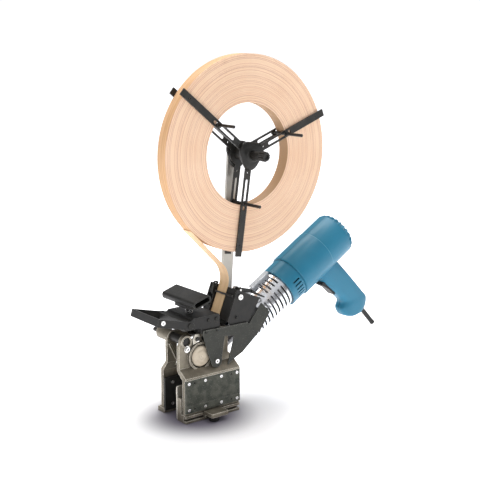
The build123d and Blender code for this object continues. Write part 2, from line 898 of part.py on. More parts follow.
# the strip of tape from the coil, over the bed, to the roller's underside
strip_offset = 0.3 + tape_thickness / 2
leave_angle = math.radians(225)
strip_start = (
    reel_x + (roll_radius + strip_offset) * math.cos(leave_angle),
    reel_z + (roll_radius + strip_offset) * math.sin(leave_angle),
)
bed_centre_low = beside_bed(0, -strip_offset)
strip_z = roller_z - roller_radius - strip_offset - 0.1
bed_slope = bed_dir.X / bed_dir.Y
turn_z = (strip_start[0] + strip_start[1] - bed_centre_low[0] + bed_centre_low[1] * bed_slope) / (
    1 + bed_slope
)
strip_turn = (strip_start[0] + strip_start[1] - turn_z, turn_z)
strip_foot = (bed_centre_low[0] - (bed_centre_low[1] - strip_z) * bed_slope, strip_z)
with BuildPart() as tape_strip:
    with BuildSketch(xz_at(mid_y - tape_width / 2)):
        with BuildLine():
            FilletPolyline(
                strip_start,
                strip_turn,
                strip_foot,
                (roller_x - 8, strip_z),
                radius=[36, 18],
            )
        trace(line_width=tape_thickness)
    extrude(amount=-tape_width)
finish(tape_strip.part, "tape_strip")

latch_pivot = (60.0, 186.5)
latch_angle = -22.0
latch_dir = Vector(math.cos(math.radians(latch_angle)), math.sin(math.radians(latch_angle)), 0)


def along_latch(run, rise):
    """A point on the latch, measured from its pivot along and above its lever."""
    normal = Vector(-latch_dir.Y, latch_dir.X, 0)
    spot = Vector(latch_pivot[0], latch_pivot[1], 0) + latch_dir * run + normal * rise
    return (spot.X, spot.Y)


base_thickness = 3.0
lever_width = 7.0
wire = 2.2
loop_width = lever_width + 2 * gap + 2 * wire
loop_front_y = cheek_inner_y + base_thickness - wire
latch_nut_y = cheek_inner_y + base_thickness + lever_width + 2 * gap
with BuildPart() as latch_base:
    with BuildSketch(xz_at(cheek_inner_y)):
        with BuildLine():
            Polyline(
                beside_bed(bed_length - 14, bed_thickness),
                beside_bed(bed_length, bed_thickness),
                (latch_pivot[0] - 4, latch_pivot[1] + 1),
                (latch_pivot[0], latch_pivot[1] + 5),
                (latch_pivot[0] + 5, latch_pivot[1]),
                (latch_pivot[0] + 2, latch_pivot[1] - 12),
                close=True,
            )
        make_face()
        with Locations(latch_pivot, cheek_screw_spots[0]):
            Circle(2, mode=Mode.SUBTRACT)
    extrude(amount=-base_thickness)
finish(latch_base.part, "latch_base")

with BuildPart() as latch_pin:
    with BuildSketch(xz_at(cheek_inner_y + 0.5)):
        with Locations(latch_pivot):
            Circle(2 - slip)
    extrude(amount=-(latch_nut_y - cheek_inner_y - 0.5))
    with BuildSketch(xz_at(latch_nut_y)):
        with Locations(latch_pivot):
            Circle(4.4)
            with PolarLocations(4.8, 10):
                Circle(0.8, mode=Mode.SUBTRACT)
    extrude(amount=-6)
finish(latch_pin.part, "latch_pin")

with BuildPart() as latch_lever:
    with BuildSketch(xz_at(cheek_inner_y + base_thickness + gap)):
        with BuildLine():
            Polyline(
                along_latch(-4, 3),
                along_latch(22, 6),
                along_latch(38, 3),
                along_latch(39, 0),
                along_latch(20, 1),
                along_latch(4, -4),
                along_latch(-3, -4),
                close=True,
            )
        make_face()
        with Locations(latch_pivot):
            Circle(2, mode=Mode.SUBTRACT)
        with Locations(along_latch(24, 3.4)):
            Circle(wire / 2 + screw_slip, mode=Mode.SUBTRACT)
    extrude(amount=-lever_width)
finish(latch_lever.part, "latch_lever")

with BuildPart() as latch_loop:
    for run, rise in ((24, 3.4), (49, 0.6)):
        with BuildSketch(xz_at(loop_front_y)):
            with Locations(along_latch(run, rise)):
                Circle(wire / 2)
        extrude(amount=-loop_width)
    for y0 in (loop_front_y, loop_front_y + loop_width - wire):
        with BuildSketch(xz_at(y0)):
            with BuildLine():
                Polyline(
                    along_latch(24, 3.4 + wire / 2),
                    along_latch(24, 3.4 - wire / 2),
                    along_latch(49, 0.6 - wire / 2),
                    along_latch(49, 0.6 + wire / 2),
                    close=True,
                )
            make_face()
        extrude(amount=-wire)
finish(latch_loop.part, "latch_loop")

# ---------------------------------------------------------------- heat gun
row_start = 9.0  # from the collar's rim to the front end of the first row of slots
flange_front = 1.0
full_arcs = ((0, 180), (180, 180))  # start and sweep, in degrees round the gun's axis
trough_arcs = ((180, 180),)
high_row_arcs = ((214, 112), (34, 12), (83, 14), (134, 12))
low_row_arcs = ((214, 112), (34, 112))
trough_row_arcs = ((180, 8), (214, 112), (352, 8))
high_rows = 4

shield_bands = [(slot_width - row_start, row_start - slot_width + flange_front, full_arcs)]
for row in range(tube_rows + trough_rows):
    row_front = -row_start - slot_pitch * row
    web = slot_pitch - slot_width
    if row < high_rows:
        shield_bands.append((row_front, slot_width, high_row_arcs))
    elif row < tube_rows:
        shield_bands.append((row_front, slot_width, low_row_arcs))
    else:
        shield_bands.append((row_front, slot_width, trough_row_arcs))
    if row < tube_rows:
        shield_bands.append((row_front - web, web, full_arcs))
    else:
        shield_bands.append((row_front - web, web, trough_arcs))

# the slotted shield is laid up band by band: whole rings, then rows of bars between slots
with BuildPart() as heat_shield:
    for start, length, arcs in shield_bands:
        with BuildSketch(on_gun(start)):
            for turn, sweep in arcs:
                with BuildLine():
                    outer = CenterArc((0, 0), shield_radius, turn, sweep)
                    inner = CenterArc((0, 0), shield_radius - shield_wall, turn, sweep)
                    Line(outer @ 0, inner @ 0)
                    Line(outer @ 1, inner @ 1)
                make_face()
        extrude(amount=length, clean=False)
finish(heat_shield.part, "heat_shield")

fin_start = -42.0
fin_length = 38.0
fin_height = 8.0
with BuildPart() as shield_fin:
    with BuildSketch(on_gun(fin_start)):
        with Locations((0, shield_radius)):
            Rectangle(2.4, fin_height, align=(Align.CENTER, Align.MIN))
        with Locations((0, shield_radius + fin_height)):
            Rectangle(9, 2, align=(Align.CENTER, Align.MAX))
    extrude(amount=fin_length)
finish(shield_fin.part, "shield_fin")

clamp_spot = (104.0, 147.0)
shield_length = row_start + slot_pitch * tube_rows
with BuildPart() as shield_clamps:
    with BuildSketch(xz_at(front_plate_y)):
        with Locations(clamp_spot):
            Circle(4.8)
    extrude(amount=-2 * plate_half_gap)
    with BuildSketch(on_gun(-shield_length - 30)):
        Circle(shield_radius + slip)
    extrude(amount=shield_length + 30, mode=Mode.SUBTRACT)
finish(shield_clamps.part, "shield_clamps")

tip_width = 24.0
tip_height = 9.0
tube_wall = 1.0
neck_end = -68.0
taper_end = -96.0
tube_back = 20.0
with BuildPart() as nozzle:
    with BuildSketch(on_gun(neck_end)):
        Circle(tube_radius)
    extrude(amount=tube_back - neck_end)
    with BuildSketch(on_gun(flange_front)):
        Circle(collar_radius - shell_wall - gap)
    extrude(amount=shell_wall)
    with BuildSketch(on_gun(taper_end)):
        RectangleRounded(tip_width, tip_height, 2)
    with BuildSketch(on_gun(neck_end)):
        Circle(tube_radius)
    loft()
    with BuildSketch(on_gun(-nozzle_reach)):
        RectangleRounded(tip_width, tip_height, 2)
    extrude(amount=nozzle_reach + taper_end)
    with BuildSketch(on_gun(neck_end)):
        Circle(tube_radius - tube_wall)
    extrude(amount=tube_back - neck_end, mode=Mode.SUBTRACT)
    with BuildSketch(on_gun(taper_end)):
        RectangleRounded(tip_width - 2 * tube_wall, tip_height - 2 * tube_wall, 1)
    with BuildSketch(on_gun(neck_end)):
        Circle(tube_radius - tube_wall)
    loft(mode=Mode.SUBTRACT)
    with BuildSketch(on_gun(-nozzle_reach)):
        RectangleRounded(tip_width - 2 * tube_wall, tip_height - 2 * tube_wall, 1)
    extrude(amount=nozzle_reach + taper_end, mode=Mode.SUBTRACT)
finish(nozzle.part, "nozzle")

board_half = tube_radius - tube_wall - gap
with BuildPart() as heating_element:
    with BuildSketch(on_gun(neck_end + 6)):
        Circle(5)
        Rectangle(2 * board_half, 1.5)
        Rectangle(1.5, 2 * board_half)
        Circle(2, mode=Mode.SUBTRACT)
    extrude(amount=78)
    for turn in range(12):
        with BuildSketch(on_gun(neck_end + 10 + 6 * turn)):
            Circle(12)
            Circle(10.4, mode=Mode.SUBTRACT)
        extrude(amount=1.6)
finish(heating_element.part, "heating_element")

vent_angles = (164, 332)  # first vent of each row of five, front and rear
with BuildPart() as gun_collar:
    with BuildSketch(on_gun(0)):
        Circle(collar_radius)
        Circle(collar_radius - shell_wall, mode=Mode.SUBTRACT)
    extrude(amount=collar_length)
    for start in vent_angles:
        with BuildSketch(on_gun(11)):
            with PolarLocations(collar_radius - 1, 5, start_angle=start, angular_range=55):
                Rectangle(8, 2.5)
        extrude(amount=14, mode=Mode.SUBTRACT)
finish(gun_collar.part, "gun_collar")

handle_width = 34.0
handle_wall = 3.2
handle_corners = (
    (246.0, 168.5),
    (297.5, 122.0),
    (289.5, 106.5),
    (319.0, 92.5),
    (346.0, 109.5),
    (350.0, 124.0),
    (340.0, 136.5),
    (282.0, 195.0),
    (262.0, 214.0),
    (236.0, 188.0),
)
front_edge = Vector(
    handle_corners[1][0] - handle_corners[0][0],
    handle_corners[1][1] - handle_corners[0][1],
    0,
).normalized()
front_out = Vector(front_edge.Y, -front_edge.X, 0)
sleeve_root = (338.9, 110.4)
sleeve_angle = -47.2
sleeve_length = 51.6
sleeve_radius = 4.4
sleeve_bore = 2.7
sleeve_dir = Vector(
    math.cos(math.radians(sleeve_angle)), 0, math.sin(math.radians(sleeve_angle))
)
sleeve_base = Plane(
    origin=(sleeve_root[0], mid_y, sleeve_root[1]), x_dir=(0, 1, 0), z_dir=tuple(sleeve_dir)
)
rocker_run = 23.0  # from the handle's top front corner to the rocker's pivot
rocker_radius = 18.0
rocker_width = 16.0
motor_radius = 25.0
motor_front = 70.0
motor_length = 45.0


def on_handle(run, out):
    """A point this far down the handle's front edge and this far out from it."""
    spot = Vector(*handle_corners[0], 0) + front_edge * run + front_out * out
    return (spot.X, spot.Y)


with BuildPart() as gun_case:
    with BuildSketch(xz_at(mid_y - handle_width / 2)):
        with BuildLine():
            Polyline(*handle_corners, close=True)
        make_face()
    extrude(amount=-handle_width)
    fillet(gun_case.edges().filter_by(Axis.Y).sort_by(Axis.Z)[:5], 4)
    fillet(gun_case.faces().filter_by(Axis.Y).edges(), 6)
    with BuildSketch(on_gun(collar_length)):
        Circle(body_radius)
    extrude(amount=body_end - collar_length)
    with BuildSketch(on_gun(collar_length + shell_wall)):
        Circle(body_radius - shell_wall)
    extrude(amount=body_end - collar_length - shell_wall, mode=Mode.SUBTRACT)
    with BuildSketch(on_gun(collar_length)):
        Circle(collar_radius - shell_wall)
    extrude(amount=shell_wall, mode=Mode.SUBTRACT)
    with BuildSketch(xz_at(mid_y - handle_width / 2 + handle_wall)):
        with BuildLine():
            Polyline(*handle_corners, close=True)
        make_face()
        offset(amount=-handle_wall, kind=Kind.INTERSECTION, mode=Mode.REPLACE)
    extrude(amount=-(handle_width - 2 * handle_wall), mode=Mode.SUBTRACT)
    # two rings that hold the motor
    for start in (motor_front + 2, motor_front + motor_length - 5):
        with BuildSketch(on_gun(start)):
            Circle(body_radius - 1)
            Circle(motor_radius + screw_slip, mode=Mode.SUBTRACT)
        extrude(amount=3)
    with BuildSketch(xz_at(mid_y - rocker_width / 2 - gap)):
        with Locations(on_handle(rocker_run, 0)):
            Circle(rocker_radius + gap)
    extrude(amount=-(rocker_width + 2 * gap), mode=Mode.SUBTRACT)
    with BuildSketch(sleeve_base):
        Circle(sleeve_radius + slip)
    extrude(amount=sleeve_length, mode=Mode.SUBTRACT)

for side, keep in (("front", Keep.TOP), ("rear", Keep.BOTTOM)):
    with BuildPart() as gun_shell:
        add(gun_case.part)
        split(bisect_by=xz_at(mid_y), keep=keep)
    finish(gun_shell.part, f"gun_shell_{side}")

cap_length = 12.0
with BuildPart() as vent_cap:
    with BuildSketch(on_gun(body_end)):
        Circle(body_radius)
    extrude(amount=cap_length)
    fillet(vent_cap.edges().filter_by(GeomType.CIRCLE).sort_by(Axis.X)[-1], 9)
    with BuildSketch(on_gun(body_end)):
        Circle(body_radius - shell_wall - 3)
    extrude(amount=cap_length - shell_wall, mode=Mode.SUBTRACT)
    with BuildSketch(on_gun(body_end)):
        with GridLocations(8, 1, 5, 1):
            Rectangle(3, 36)
    extrude(amount=cap_length + 1, mode=Mode.SUBTRACT)
finish(vent_cap.part, "vent_cap")

with BuildPart() as motor:
    with BuildSketch(on_gun(motor_front)):
        Circle(motor_radius)
    extrude(amount=motor_length)
    with BuildSketch(on_gun(motor_front + motor_length)):
        Circle(9)
    extrude(amount=5)
    with BuildSketch(on_gun(motor_front)):
        Circle(3)
    extrude(amount=motor_length + 5, mode=Mode.SUBTRACT)
finish(motor.part, "motor")

fan_radius = 30.0
fan_front = 52.0
with BuildPart() as rotor:
    with BuildSketch(on_gun(fan_front)):
        Circle(3 - slip)
    extrude(amount=motor_front + motor_length + 6 - fan_front)
    with BuildSketch(on_gun(fan_front)):
        Circle(8)
    extrude(amount=12)
    with BuildSketch(on_gun(fan_front + 8)):
        Circle(fan_radius)
    extrude(amount=1.5)
    with BuildSketch(on_gun(fan_front + 1)):
        with PolarLocations(18, 8):
            Rectangle(22, 1.5)
    extrude(amount=7.5)
finish(rotor.part, "rotor")

with BuildPart() as rocker_switch:
    with BuildSketch(xz_at(mid_y - rocker_width / 2)):
        with Locations(on_handle(rocker_run, 0)):
            Circle(rocker_radius)
        with BuildLine():
            Polyline(
                on_handle(rocker_run - rocker_radius - 2, 6.2),
                on_handle(rocker_run, 1.7),
                on_handle(rocker_run + rocker_radius + 2, 1.7),
                on_handle(rocker_run + rocker_radius + 2, -handle_wall - 1),
                on_handle(rocker_run - rocker_radius - 2, -handle_wall - 1),
                close=True,
            )
        make_face(mode=Mode.INTERSECT)
    extrude(amount=-rocker_width)
finish(rocker_switch.part, "rocker_switch")

with BuildPart() as cord_sleeve:
    with BuildSketch(sleeve_base):
        Circle(sleeve_radius)
    extrude(amount=sleeve_length)
    with BuildSketch(sleeve_base.offset(-1.5)):
        Circle(sleeve_radius + 1.6)
    extrude(amount=1.5)
    with BuildSketch(sleeve_base.offset(-1.5)):
        Circle(sleeve_bore)
    extrude(amount=sleeve_length + 1.5, mode=Mode.SUBTRACT)
finish(cord_sleeve.part, "cord_sleeve")

# ---------------------------------------------------------------- post and reel
post_back_y = post_y + post_thickness
post_run = Vector(post_head[0] - post_foot[0], post_head[1] - post_foot[1], 0)
post_lean = math.degrees(math.atan2(post_run.Y, post_run.X))
post_mid = ((post_foot[0] + post_head[0]) / 2, (post_foot[1] + post_head[1]) / 2)
with BuildPart() as post:
    with BuildSketch(xz_at(post_y)):
        with Locations(Location((post_mid[0], post_mid[1], 0), (0, 0, post_lean))):
            Rectangle(post_run.length, post_width)
        with Locations((reel_x, reel_z)):
            Circle(hub_bore_radius, mode=Mode.SUBTRACT)
        with Locations(*post_screw_spots):
            Circle(2 + screw_slip, mode=Mode.SUBTRACT)
    extrude(amount=-post_thickness)
    fillet(post.edges().filter_by(Axis.Y).filter_by(GeomType.LINE).sort_by(Axis.Z)[-2:], 4)
finish(post.part, "post")

rear_arm_front_y = mid_y + tape_width / 2 + 1
rear_hub_y = rear_arm_front_y + spider_thickness
front_arm_y = mid_y - tape_width / 2 - 1 - spider_thickness
front_hub_y = front_arm_y - 8.5
rear_hub_end_y = rear_hub_y + 5.5
with BuildPart() as reel_axle:
    with BuildSketch(xz_at(-24)):
        with Locations((reel_x, reel_z)):
            Circle(hub_bore_radius - slip)
    extrude(amount=-(post_back_y + 5 + 24))
    with BuildSketch(xz_at(rear_hub_end_y + 0.1)):
        with Locations((reel_x, reel_z)):
            Circle(8)
    extrude(amount=-(post_y - rear_hub_end_y - 0.1))
    with BuildSketch(xz_at(post_back_y)):
        with Locations((reel_x, reel_z)):
            RegularPolygon(8, 6)
    extrude(amount=-4.5)
finish(reel_axle.part, "reel_axle")

with BuildPart() as reel_hubs:
    for y0, depth in ((front_hub_y, front_arm_y - front_hub_y), (rear_hub_y, rear_hub_end_y - rear_hub_y)):
        with BuildSketch(xz_at(y0)):
            with Locations((reel_x, reel_z)):
                Circle(hub_radius)
                Circle(hub_bore_radius, mode=Mode.SUBTRACT)
        extrude(amount=-depth)
    rims = reel_hubs.edges().filter_by(GeomType.CIRCLE).filter_by(lambda e: e.radius > 20)
    fillet(rims.group_by(Axis.Y)[0], 1.5)
finish(reel_hubs.part, "reel_hubs")

core_radius = 10.0
slot_start = 38.0
slot_end = 86.0
slot_gap = 5.4
with BuildPart() as reel_arms:
    for y0 in (front_arm_y, rear_arm_front_y):
        with BuildSketch(xz_at(y0)):
            with Locations((reel_x, reel_z)):
                Circle(hub_radius - 6)
                for turn in spider_angles:
                    with Locations(Location((0, 0, 0), (0, 0, turn))):
                        Rectangle(spider_length, spider_width, align=(Align.MIN, Align.CENTER))
                        with Locations(((slot_start + slot_end) / 2, 0)):
                            SlotOverall(slot_end - slot_start, slot_gap, mode=Mode.SUBTRACT)
                        with Locations((28, 0)):
                            Circle(1.5, mode=Mode.SUBTRACT)
                        with Locations((140, 0)):
                            Circle(1.25, mode=Mode.SUBTRACT)
                Circle(hub_bore_radius, mode=Mode.SUBTRACT)
        extrude(amount=-spider_thickness)
    with BuildSketch(xz_at(front_arm_y + spider_thickness)):
        with Locations((reel_x, reel_z)):
            Circle(core_radius)
            Circle(hub_bore_radius, mode=Mode.SUBTRACT)
    extrude(amount=-(rear_arm_front_y - front_arm_y - spider_thickness))
finish(reel_arms.part, "reel_arms")

pin_circle = 75.2  # distance of each pin from the reel's axis when the coil is on
pin_front_y = rear_hub_y + 3.5 - tape_pin_length
for letter, turn in zip("abc", spider_angles):
    spot = (
        reel_x + pin_circle * math.cos(math.radians(turn)),
        reel_z + pin_circle * math.sin(math.radians(turn)),
    )
    with BuildPart() as tape_pin:
        with BuildSketch(xz_at(pin_front_y)):
            with Locations(spot):
                Circle(tape_pin_radius)
        extrude(amount=-(tape_pin_length + 1))
        with BuildSketch(xz_at(front_arm_y - 2.1)):
            with Locations(spot):
                Circle(4.5)
        extrude(amount=-2)
        with BuildSketch(xz_at(rear_hub_y + 0.1)):
            with Locations(spot):
                RegularPolygon(4.5, 6)
        extrude(amount=-3.2)
    finish(tape_pin.part, f"tape_pin_{letter}")

knob_end_y = -26.0
with BuildPart() as hub_knob:
    with BuildSketch(xz_at(knob_end_y)):
        with Locations((reel_x, reel_z)):
            Circle(8)
            with PolarLocations(8.6, 12):
                Circle(1.3, mode=Mode.SUBTRACT)
    extrude(amount=-12)
    with BuildSketch(xz_at(knob_end_y + 12)):
        with Locations((reel_x, reel_z)):
            Circle(6.5)
    extrude(amount=-(front_hub_y - knob_end_y - 12 - 0.1))
    with BuildSketch(xz_at(knob_end_y + 1.8)):
        with Locations((reel_x, reel_z)):
            Circle(hub_bore_radius)
    extrude(amount=-(front_hub_y - knob_end_y), mode=Mode.SUBTRACT)
finish(hub_knob.part, "hub_knob")

with BuildPart() as tape_roll:
    with BuildSketch(xz_at(mid_y - tape_width / 2)):
        with Locations((reel_x, reel_z)):
            Circle(roll_radius)
            Circle(roll_bore_radius, mode=Mode.SUBTRACT)
    extrude(amount=-tape_width)
finish(tape_roll.part, "tape_roll")

# ---------------------------------------------------------------- spacers and screws
spacer_centre = (
    (post_screw_spots[0][0] + post_screw_spots[1][0]) / 2,
    (post_screw_spots[0][1] + post_screw_spots[1][1]) / 2,
)
with BuildPart() as spacers:
    with BuildSketch(xz_at(front_plate_y)):
        with Locations(lobe_spot):
            Circle(4)
            Circle(2 + screw_slip, mode=Mode.SUBTRACT)
    extrude(amount=-(wall_front_y - front_plate_y))
    with BuildSketch(xz_at(front_plate_y)):
        with Locations(tie_spot):
            Circle(2.6)
    extrude(amount=-2 * plate_half_gap)
    with BuildSketch(xz_at(post_back_y)):
        with Locations(spacer_centre):
            Rectangle(14, 26)
        with Locations(*post_screw_spots):
            Circle(2 + screw_slip, mode=Mode.SUBTRACT)
    extrude(amount=-(rear_plate_y - plate_thickness - post_back_y))
finish(spacers.part, "spacers")

with BuildPart() as chassis_screws:
    # cap screws: into the casting beside the shaft, through the plate's lobe, and at the post
    for spots, face, reach in (
        ((shaft_screw_spot,), wall_front_y - 1, wall_back_y - wall_front_y),
        ((lobe_spot,), front_plate_y - plate_thickness, wall_back_y + 1 - front_plate_y),
        (post_screw_spots, post_y, rear_plate_y - post_y),
    ):
        with BuildSketch(xz_at(face - 2.5)):
            with Locations(*spots):
                Circle(3.4)
        extrude(amount=-2.5)
        with BuildSketch(xz_at(face)):
            with Locations(*spots):
                Circle(2)
        extrude(amount=-reach)
        with BuildSketch(xz_at(face - 2.5)):
            with Locations(*spots):
                RegularPolygon(1.8, 6)
        extrude(amount=-1.6, mode=Mode.SUBTRACT)
    with BuildSketch(xz_at(wall_front_y - 1)):
        with Locations(shaft_screw_spot):
            Circle(washer_radius)
    extrude(amount=-1)
    # round-headed screws: block, link plate and the guide's front cheek
    for face, sign, spots, head_radius, head, reach in (
        (front_plate_y - plate_thickness, 1, low_plate_spots, 1.9, 1.2, 5),
        (rear_plate_y + plate_thickness, -1, low_plate_spots, 1.9, 1.2, 5),
        (front_plate_y, 1, block_face_spots, 2.8, 1.4, 4),
        (wall_front_y - 3, 1, (link_spot,), 3.4, 2.2, 5),
        (front_plate_y, 1, cheek_screw_spots[:1], 4.4, 2.2, 4),
        (front_plate_y, 1, cheek_screw_spots[1:], 2.4, 2.0, 4),
    ):
        with BuildSketch(xz_at(face)):
            with Locations(*spots):
                Circle(head_radius)
        extrude(amount=sign * head)
        with BuildSketch(xz_at(face)):
            with Locations(*spots):
                Circle(1.5)
        extrude(amount=-sign * reach)
    with BuildSketch(xz_at(front_plate_y - 2.2)):
        with Locations(cheek_screw_spots[0]):
            Rectangle(5.4, 1.1)
            Rectangle(1.1, 5.4)
    extrude(amount=-1.2, mode=Mode.SUBTRACT)
    with BuildSketch(xz_at(wall_front_y - 5.2)):
        with Locations(link_spot):
            Rectangle(5, 0.9)
    extrude(amount=-1, mode=Mode.SUBTRACT)
finish(chassis_screws.part, "chassis_screws")
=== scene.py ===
# %% [markdown]
# # A portable edge bander with its heat gun and reel
#
# The machine glues wood edging to a board. A blue heat gun blows down a slotted
# shield onto the edging, a reel above holds the coil, and two fences grip the board.
# Every CAD piece comes in already in place, in metres with Z up. This script gives
# each one a finish and replaces the round, glossy or coiled ones with smoother meshes.

import json
import math

import bpy
import numpy as np
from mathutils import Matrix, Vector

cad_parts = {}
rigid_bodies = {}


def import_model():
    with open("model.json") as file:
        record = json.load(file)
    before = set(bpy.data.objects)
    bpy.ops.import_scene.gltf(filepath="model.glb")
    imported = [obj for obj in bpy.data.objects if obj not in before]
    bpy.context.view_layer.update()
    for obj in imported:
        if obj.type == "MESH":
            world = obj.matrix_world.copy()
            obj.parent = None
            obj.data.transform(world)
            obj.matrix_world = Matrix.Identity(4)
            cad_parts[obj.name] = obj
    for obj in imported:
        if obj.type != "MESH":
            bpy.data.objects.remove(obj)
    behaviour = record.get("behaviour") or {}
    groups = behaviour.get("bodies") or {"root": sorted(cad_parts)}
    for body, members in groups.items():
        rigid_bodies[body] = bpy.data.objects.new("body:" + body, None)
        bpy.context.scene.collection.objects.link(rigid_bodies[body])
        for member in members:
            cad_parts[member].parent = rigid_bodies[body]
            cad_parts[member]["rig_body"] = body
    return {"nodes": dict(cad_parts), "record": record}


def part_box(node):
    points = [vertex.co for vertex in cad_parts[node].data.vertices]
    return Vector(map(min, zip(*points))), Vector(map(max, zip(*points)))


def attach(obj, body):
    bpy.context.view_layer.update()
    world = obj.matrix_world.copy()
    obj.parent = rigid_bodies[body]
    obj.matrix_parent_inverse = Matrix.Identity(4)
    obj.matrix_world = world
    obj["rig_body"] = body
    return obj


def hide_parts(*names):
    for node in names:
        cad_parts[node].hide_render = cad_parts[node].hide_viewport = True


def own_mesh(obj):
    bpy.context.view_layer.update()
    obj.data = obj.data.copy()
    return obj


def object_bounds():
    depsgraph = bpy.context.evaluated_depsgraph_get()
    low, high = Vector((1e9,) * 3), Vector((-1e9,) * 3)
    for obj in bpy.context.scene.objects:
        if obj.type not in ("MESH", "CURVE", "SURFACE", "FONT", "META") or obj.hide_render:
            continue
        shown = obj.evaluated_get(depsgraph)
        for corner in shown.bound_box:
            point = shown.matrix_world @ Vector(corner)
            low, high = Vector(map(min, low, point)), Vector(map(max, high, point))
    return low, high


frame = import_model()
size_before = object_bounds()
nodes = frame["nodes"]
slot_of = {part["node"]: part["material_slot"] for part in frame["record"]["subparts"]}
print("loaded", len(nodes), "pieces, box", [list(corner) for corner in size_before])

# %% [markdown]
# A material is a small graph. Writing out each node and link by hand hides the idea,
# so one helper makes a node, sets its choices and links or fills its inputs.


# %% A helper for graph nodes
def add(tree, kind, inputs=None, **choices):
    """Add a shader node. A socket given as an input is linked, and a number is set."""
    made = tree.nodes.new("ShaderNode" + kind)
    for name, choice in choices.items():
        setattr(made, name, choice)
    for name, value in (inputs or {}).items():
        if isinstance(value, bpy.types.NodeSocket):
            tree.links.new(value, made.inputs[name])
        else:
            made.inputs[name].default_value = value
    return made


def fade(tree, value, low, high):
    """0 where value is below low, 1 above high, and an S-curve in between."""
    graded = add(
        tree,
        "MapRange",
        {"Value": value, "From Min": low, "From Max": high},
        interpolation_type="SMOOTHSTEP",
    )
    return graded.outputs["Result"]


def math_of(tree, operation, first, second=0.0):
    """One sum on one or two values."""
    return add(tree, "Math", {0: first, 1: second}, operation=operation).outputs[0]


def blend_colour(tree, factor, first, second):
    """first where factor is 0, second where it is 1."""
    mixed = add(tree, "Mix", data_type="RGBA")
    for name, value in ((0, factor), (6, first), (7, second)):
        if isinstance(value, bpy.types.NodeSocket):
            tree.links.new(value, mixed.inputs[name])
        elif name == 0:
            mixed.inputs[name].default_value = value
        else:
            mixed.inputs[name].default_value = (*value, 1)
    return mixed.outputs[2]


def cloud(tree, place, scale, detail=3.0, stretch=(1, 1, 1)):
    """Noise in the piece's own space. scale is features per metre, stretch per axis."""
    pulled = add(tree, "Mapping", {"Vector": place, "Scale": stretch})
    noise = add(
        tree,
        "TexNoise",
        {"Vector": pulled.outputs[0], "Scale": scale, "Detail": detail},
    )
    return noise.outputs["Fac"]


print("graph helpers ready")

# %% [markdown]
# A real edge is never a perfect line. The Bevel node turns the shading normal as if
# each edge had a small round, and where that turned normal leaves the flat one there
# is an edge. The same difference gives worn paint or bright metal along edges, together
# with a painted highlight there, kept out of inner corners by ambient occlusion. The
# ambient occlusion also darkens the colour in hollows and corners: painted shade.


# %% One finish, with grain, wear, painted edge highlights and painted shade in hollows
def finish(
    name,
    base,
    second,
    patch=40.0,
    grain=900.0,
    bump=0.2,
    gloss=(0.4, 0.55),
    metal=0.0,
    edge=None,
    edge_radius=0.0007,
    edge_share=0.7,
    painted_hollow_shade=0.35,
    stretch=(1, 1, 1),
    coat=0.0,
    sheen=0.5,
    speckle=None,
    extra=None,
):
    """A material mixed from two colours in soft patches, with fine grain in its bump.

    patch and grain are features per metre, gloss is the roughness range, sheen how
    strongly a dark surface mirrors the room, edge the colour along convex edges, partly
    wear and partly a painted highlight, and speckle a (colour, scale, share) of flecks.
    The darkening of hollows that ambient occlusion finds is painted shade.
    extra(tree, place, colour, height) may return a changed colour and height.
    """
    made = bpy.data.materials.new(name)
    made.use_nodes = True
    tree = made.node_tree
    shader = tree.nodes["Principled BSDF"]
    place = add(tree, "TexCoord").outputs["Object"]
    soft = cloud(tree, place, patch, 4.0)
    fine = cloud(tree, place, grain, 2.0, stretch)
    colour = blend_colour(tree, fade(tree, soft, 0.32, 0.68), base, second)
    if speckle:
        fleck_colour, fleck_scale, share = speckle
        fleck = cloud(tree, place, fleck_scale, 2.0)
        spots = fade(tree, fleck, 0.62 - share, 0.7 - share)
        colour = blend_colour(tree, spots, colour, fleck_colour)
    height = fine
    if extra:
        colour, height = extra(tree, place, colour, height)
    rounded = add(tree, "Bevel", {"Radius": edge_radius}, samples=6)
    true_normal = add(tree, "NewGeometry").outputs["Normal"]
    likeness = add(
        tree,
        "VectorMath",
        {0: rounded.outputs[0], 1: true_normal},
        operation="DOT_PRODUCT",
    ).outputs["Value"]
    hollow = add(tree, "AmbientOcclusion", {"Distance": 0.006}, samples=6)
    open_air = hollow.outputs["AO"]
    # Painted shade: where ambient occlusion finds a hollow, the colour darkens.
    if painted_hollow_shade:
        shade = fade(tree, open_air, 0.75, 0.25)
        dark = tuple(channel * 0.35 for channel in base)
        colour = blend_colour(tree, math_of(tree, "MULTIPLY", shade, painted_hollow_shade), colour, dark)
    # Convex edges take the edge colour: partly wear, partly a painted highlight.
    if edge:
        corner = fade(tree, math_of(tree, "SUBTRACT", 1.0, likeness), 0.006, 0.10)
        outside = fade(tree, open_air, 0.55, 0.9)
        broken = fade(tree, cloud(tree, place, 260.0, 3.0), 0.56 - edge_share / 2, 0.62)
        worn_and_highlit = math_of(tree, "MULTIPLY", math_of(tree, "MULTIPLY", corner, outside), broken)
        colour = blend_colour(tree, worn_and_highlit, colour, edge)
    rough = add(
        tree,
        "MapRange",
        {"Value": soft, "From Min": 0.3, "From Max": 0.7, "To Min": gloss[0], "To Max": gloss[1]},
    ).outputs[0]
    bumped = add(
        tree,
        "Bump",
        {
            "Height": height,
            "Strength": bump,
            "Distance": 0.0004,
            "Normal": rounded.outputs[0],
        },
    )
    tree.links.new(colour, shader.inputs["Base Color"])
    tree.links.new(rough, shader.inputs["Roughness"])
    tree.links.new(bumped.outputs[0], shader.inputs["Normal"])
    shader.inputs["Metallic"].default_value = metal
    shader.inputs["Specular IOR Level"].default_value = sheen
    shader.inputs["Coat Weight"].default_value = coat
    shader.inputs["Coat Roughness"].default_value = 0.18
    print("finish", name)
    return made
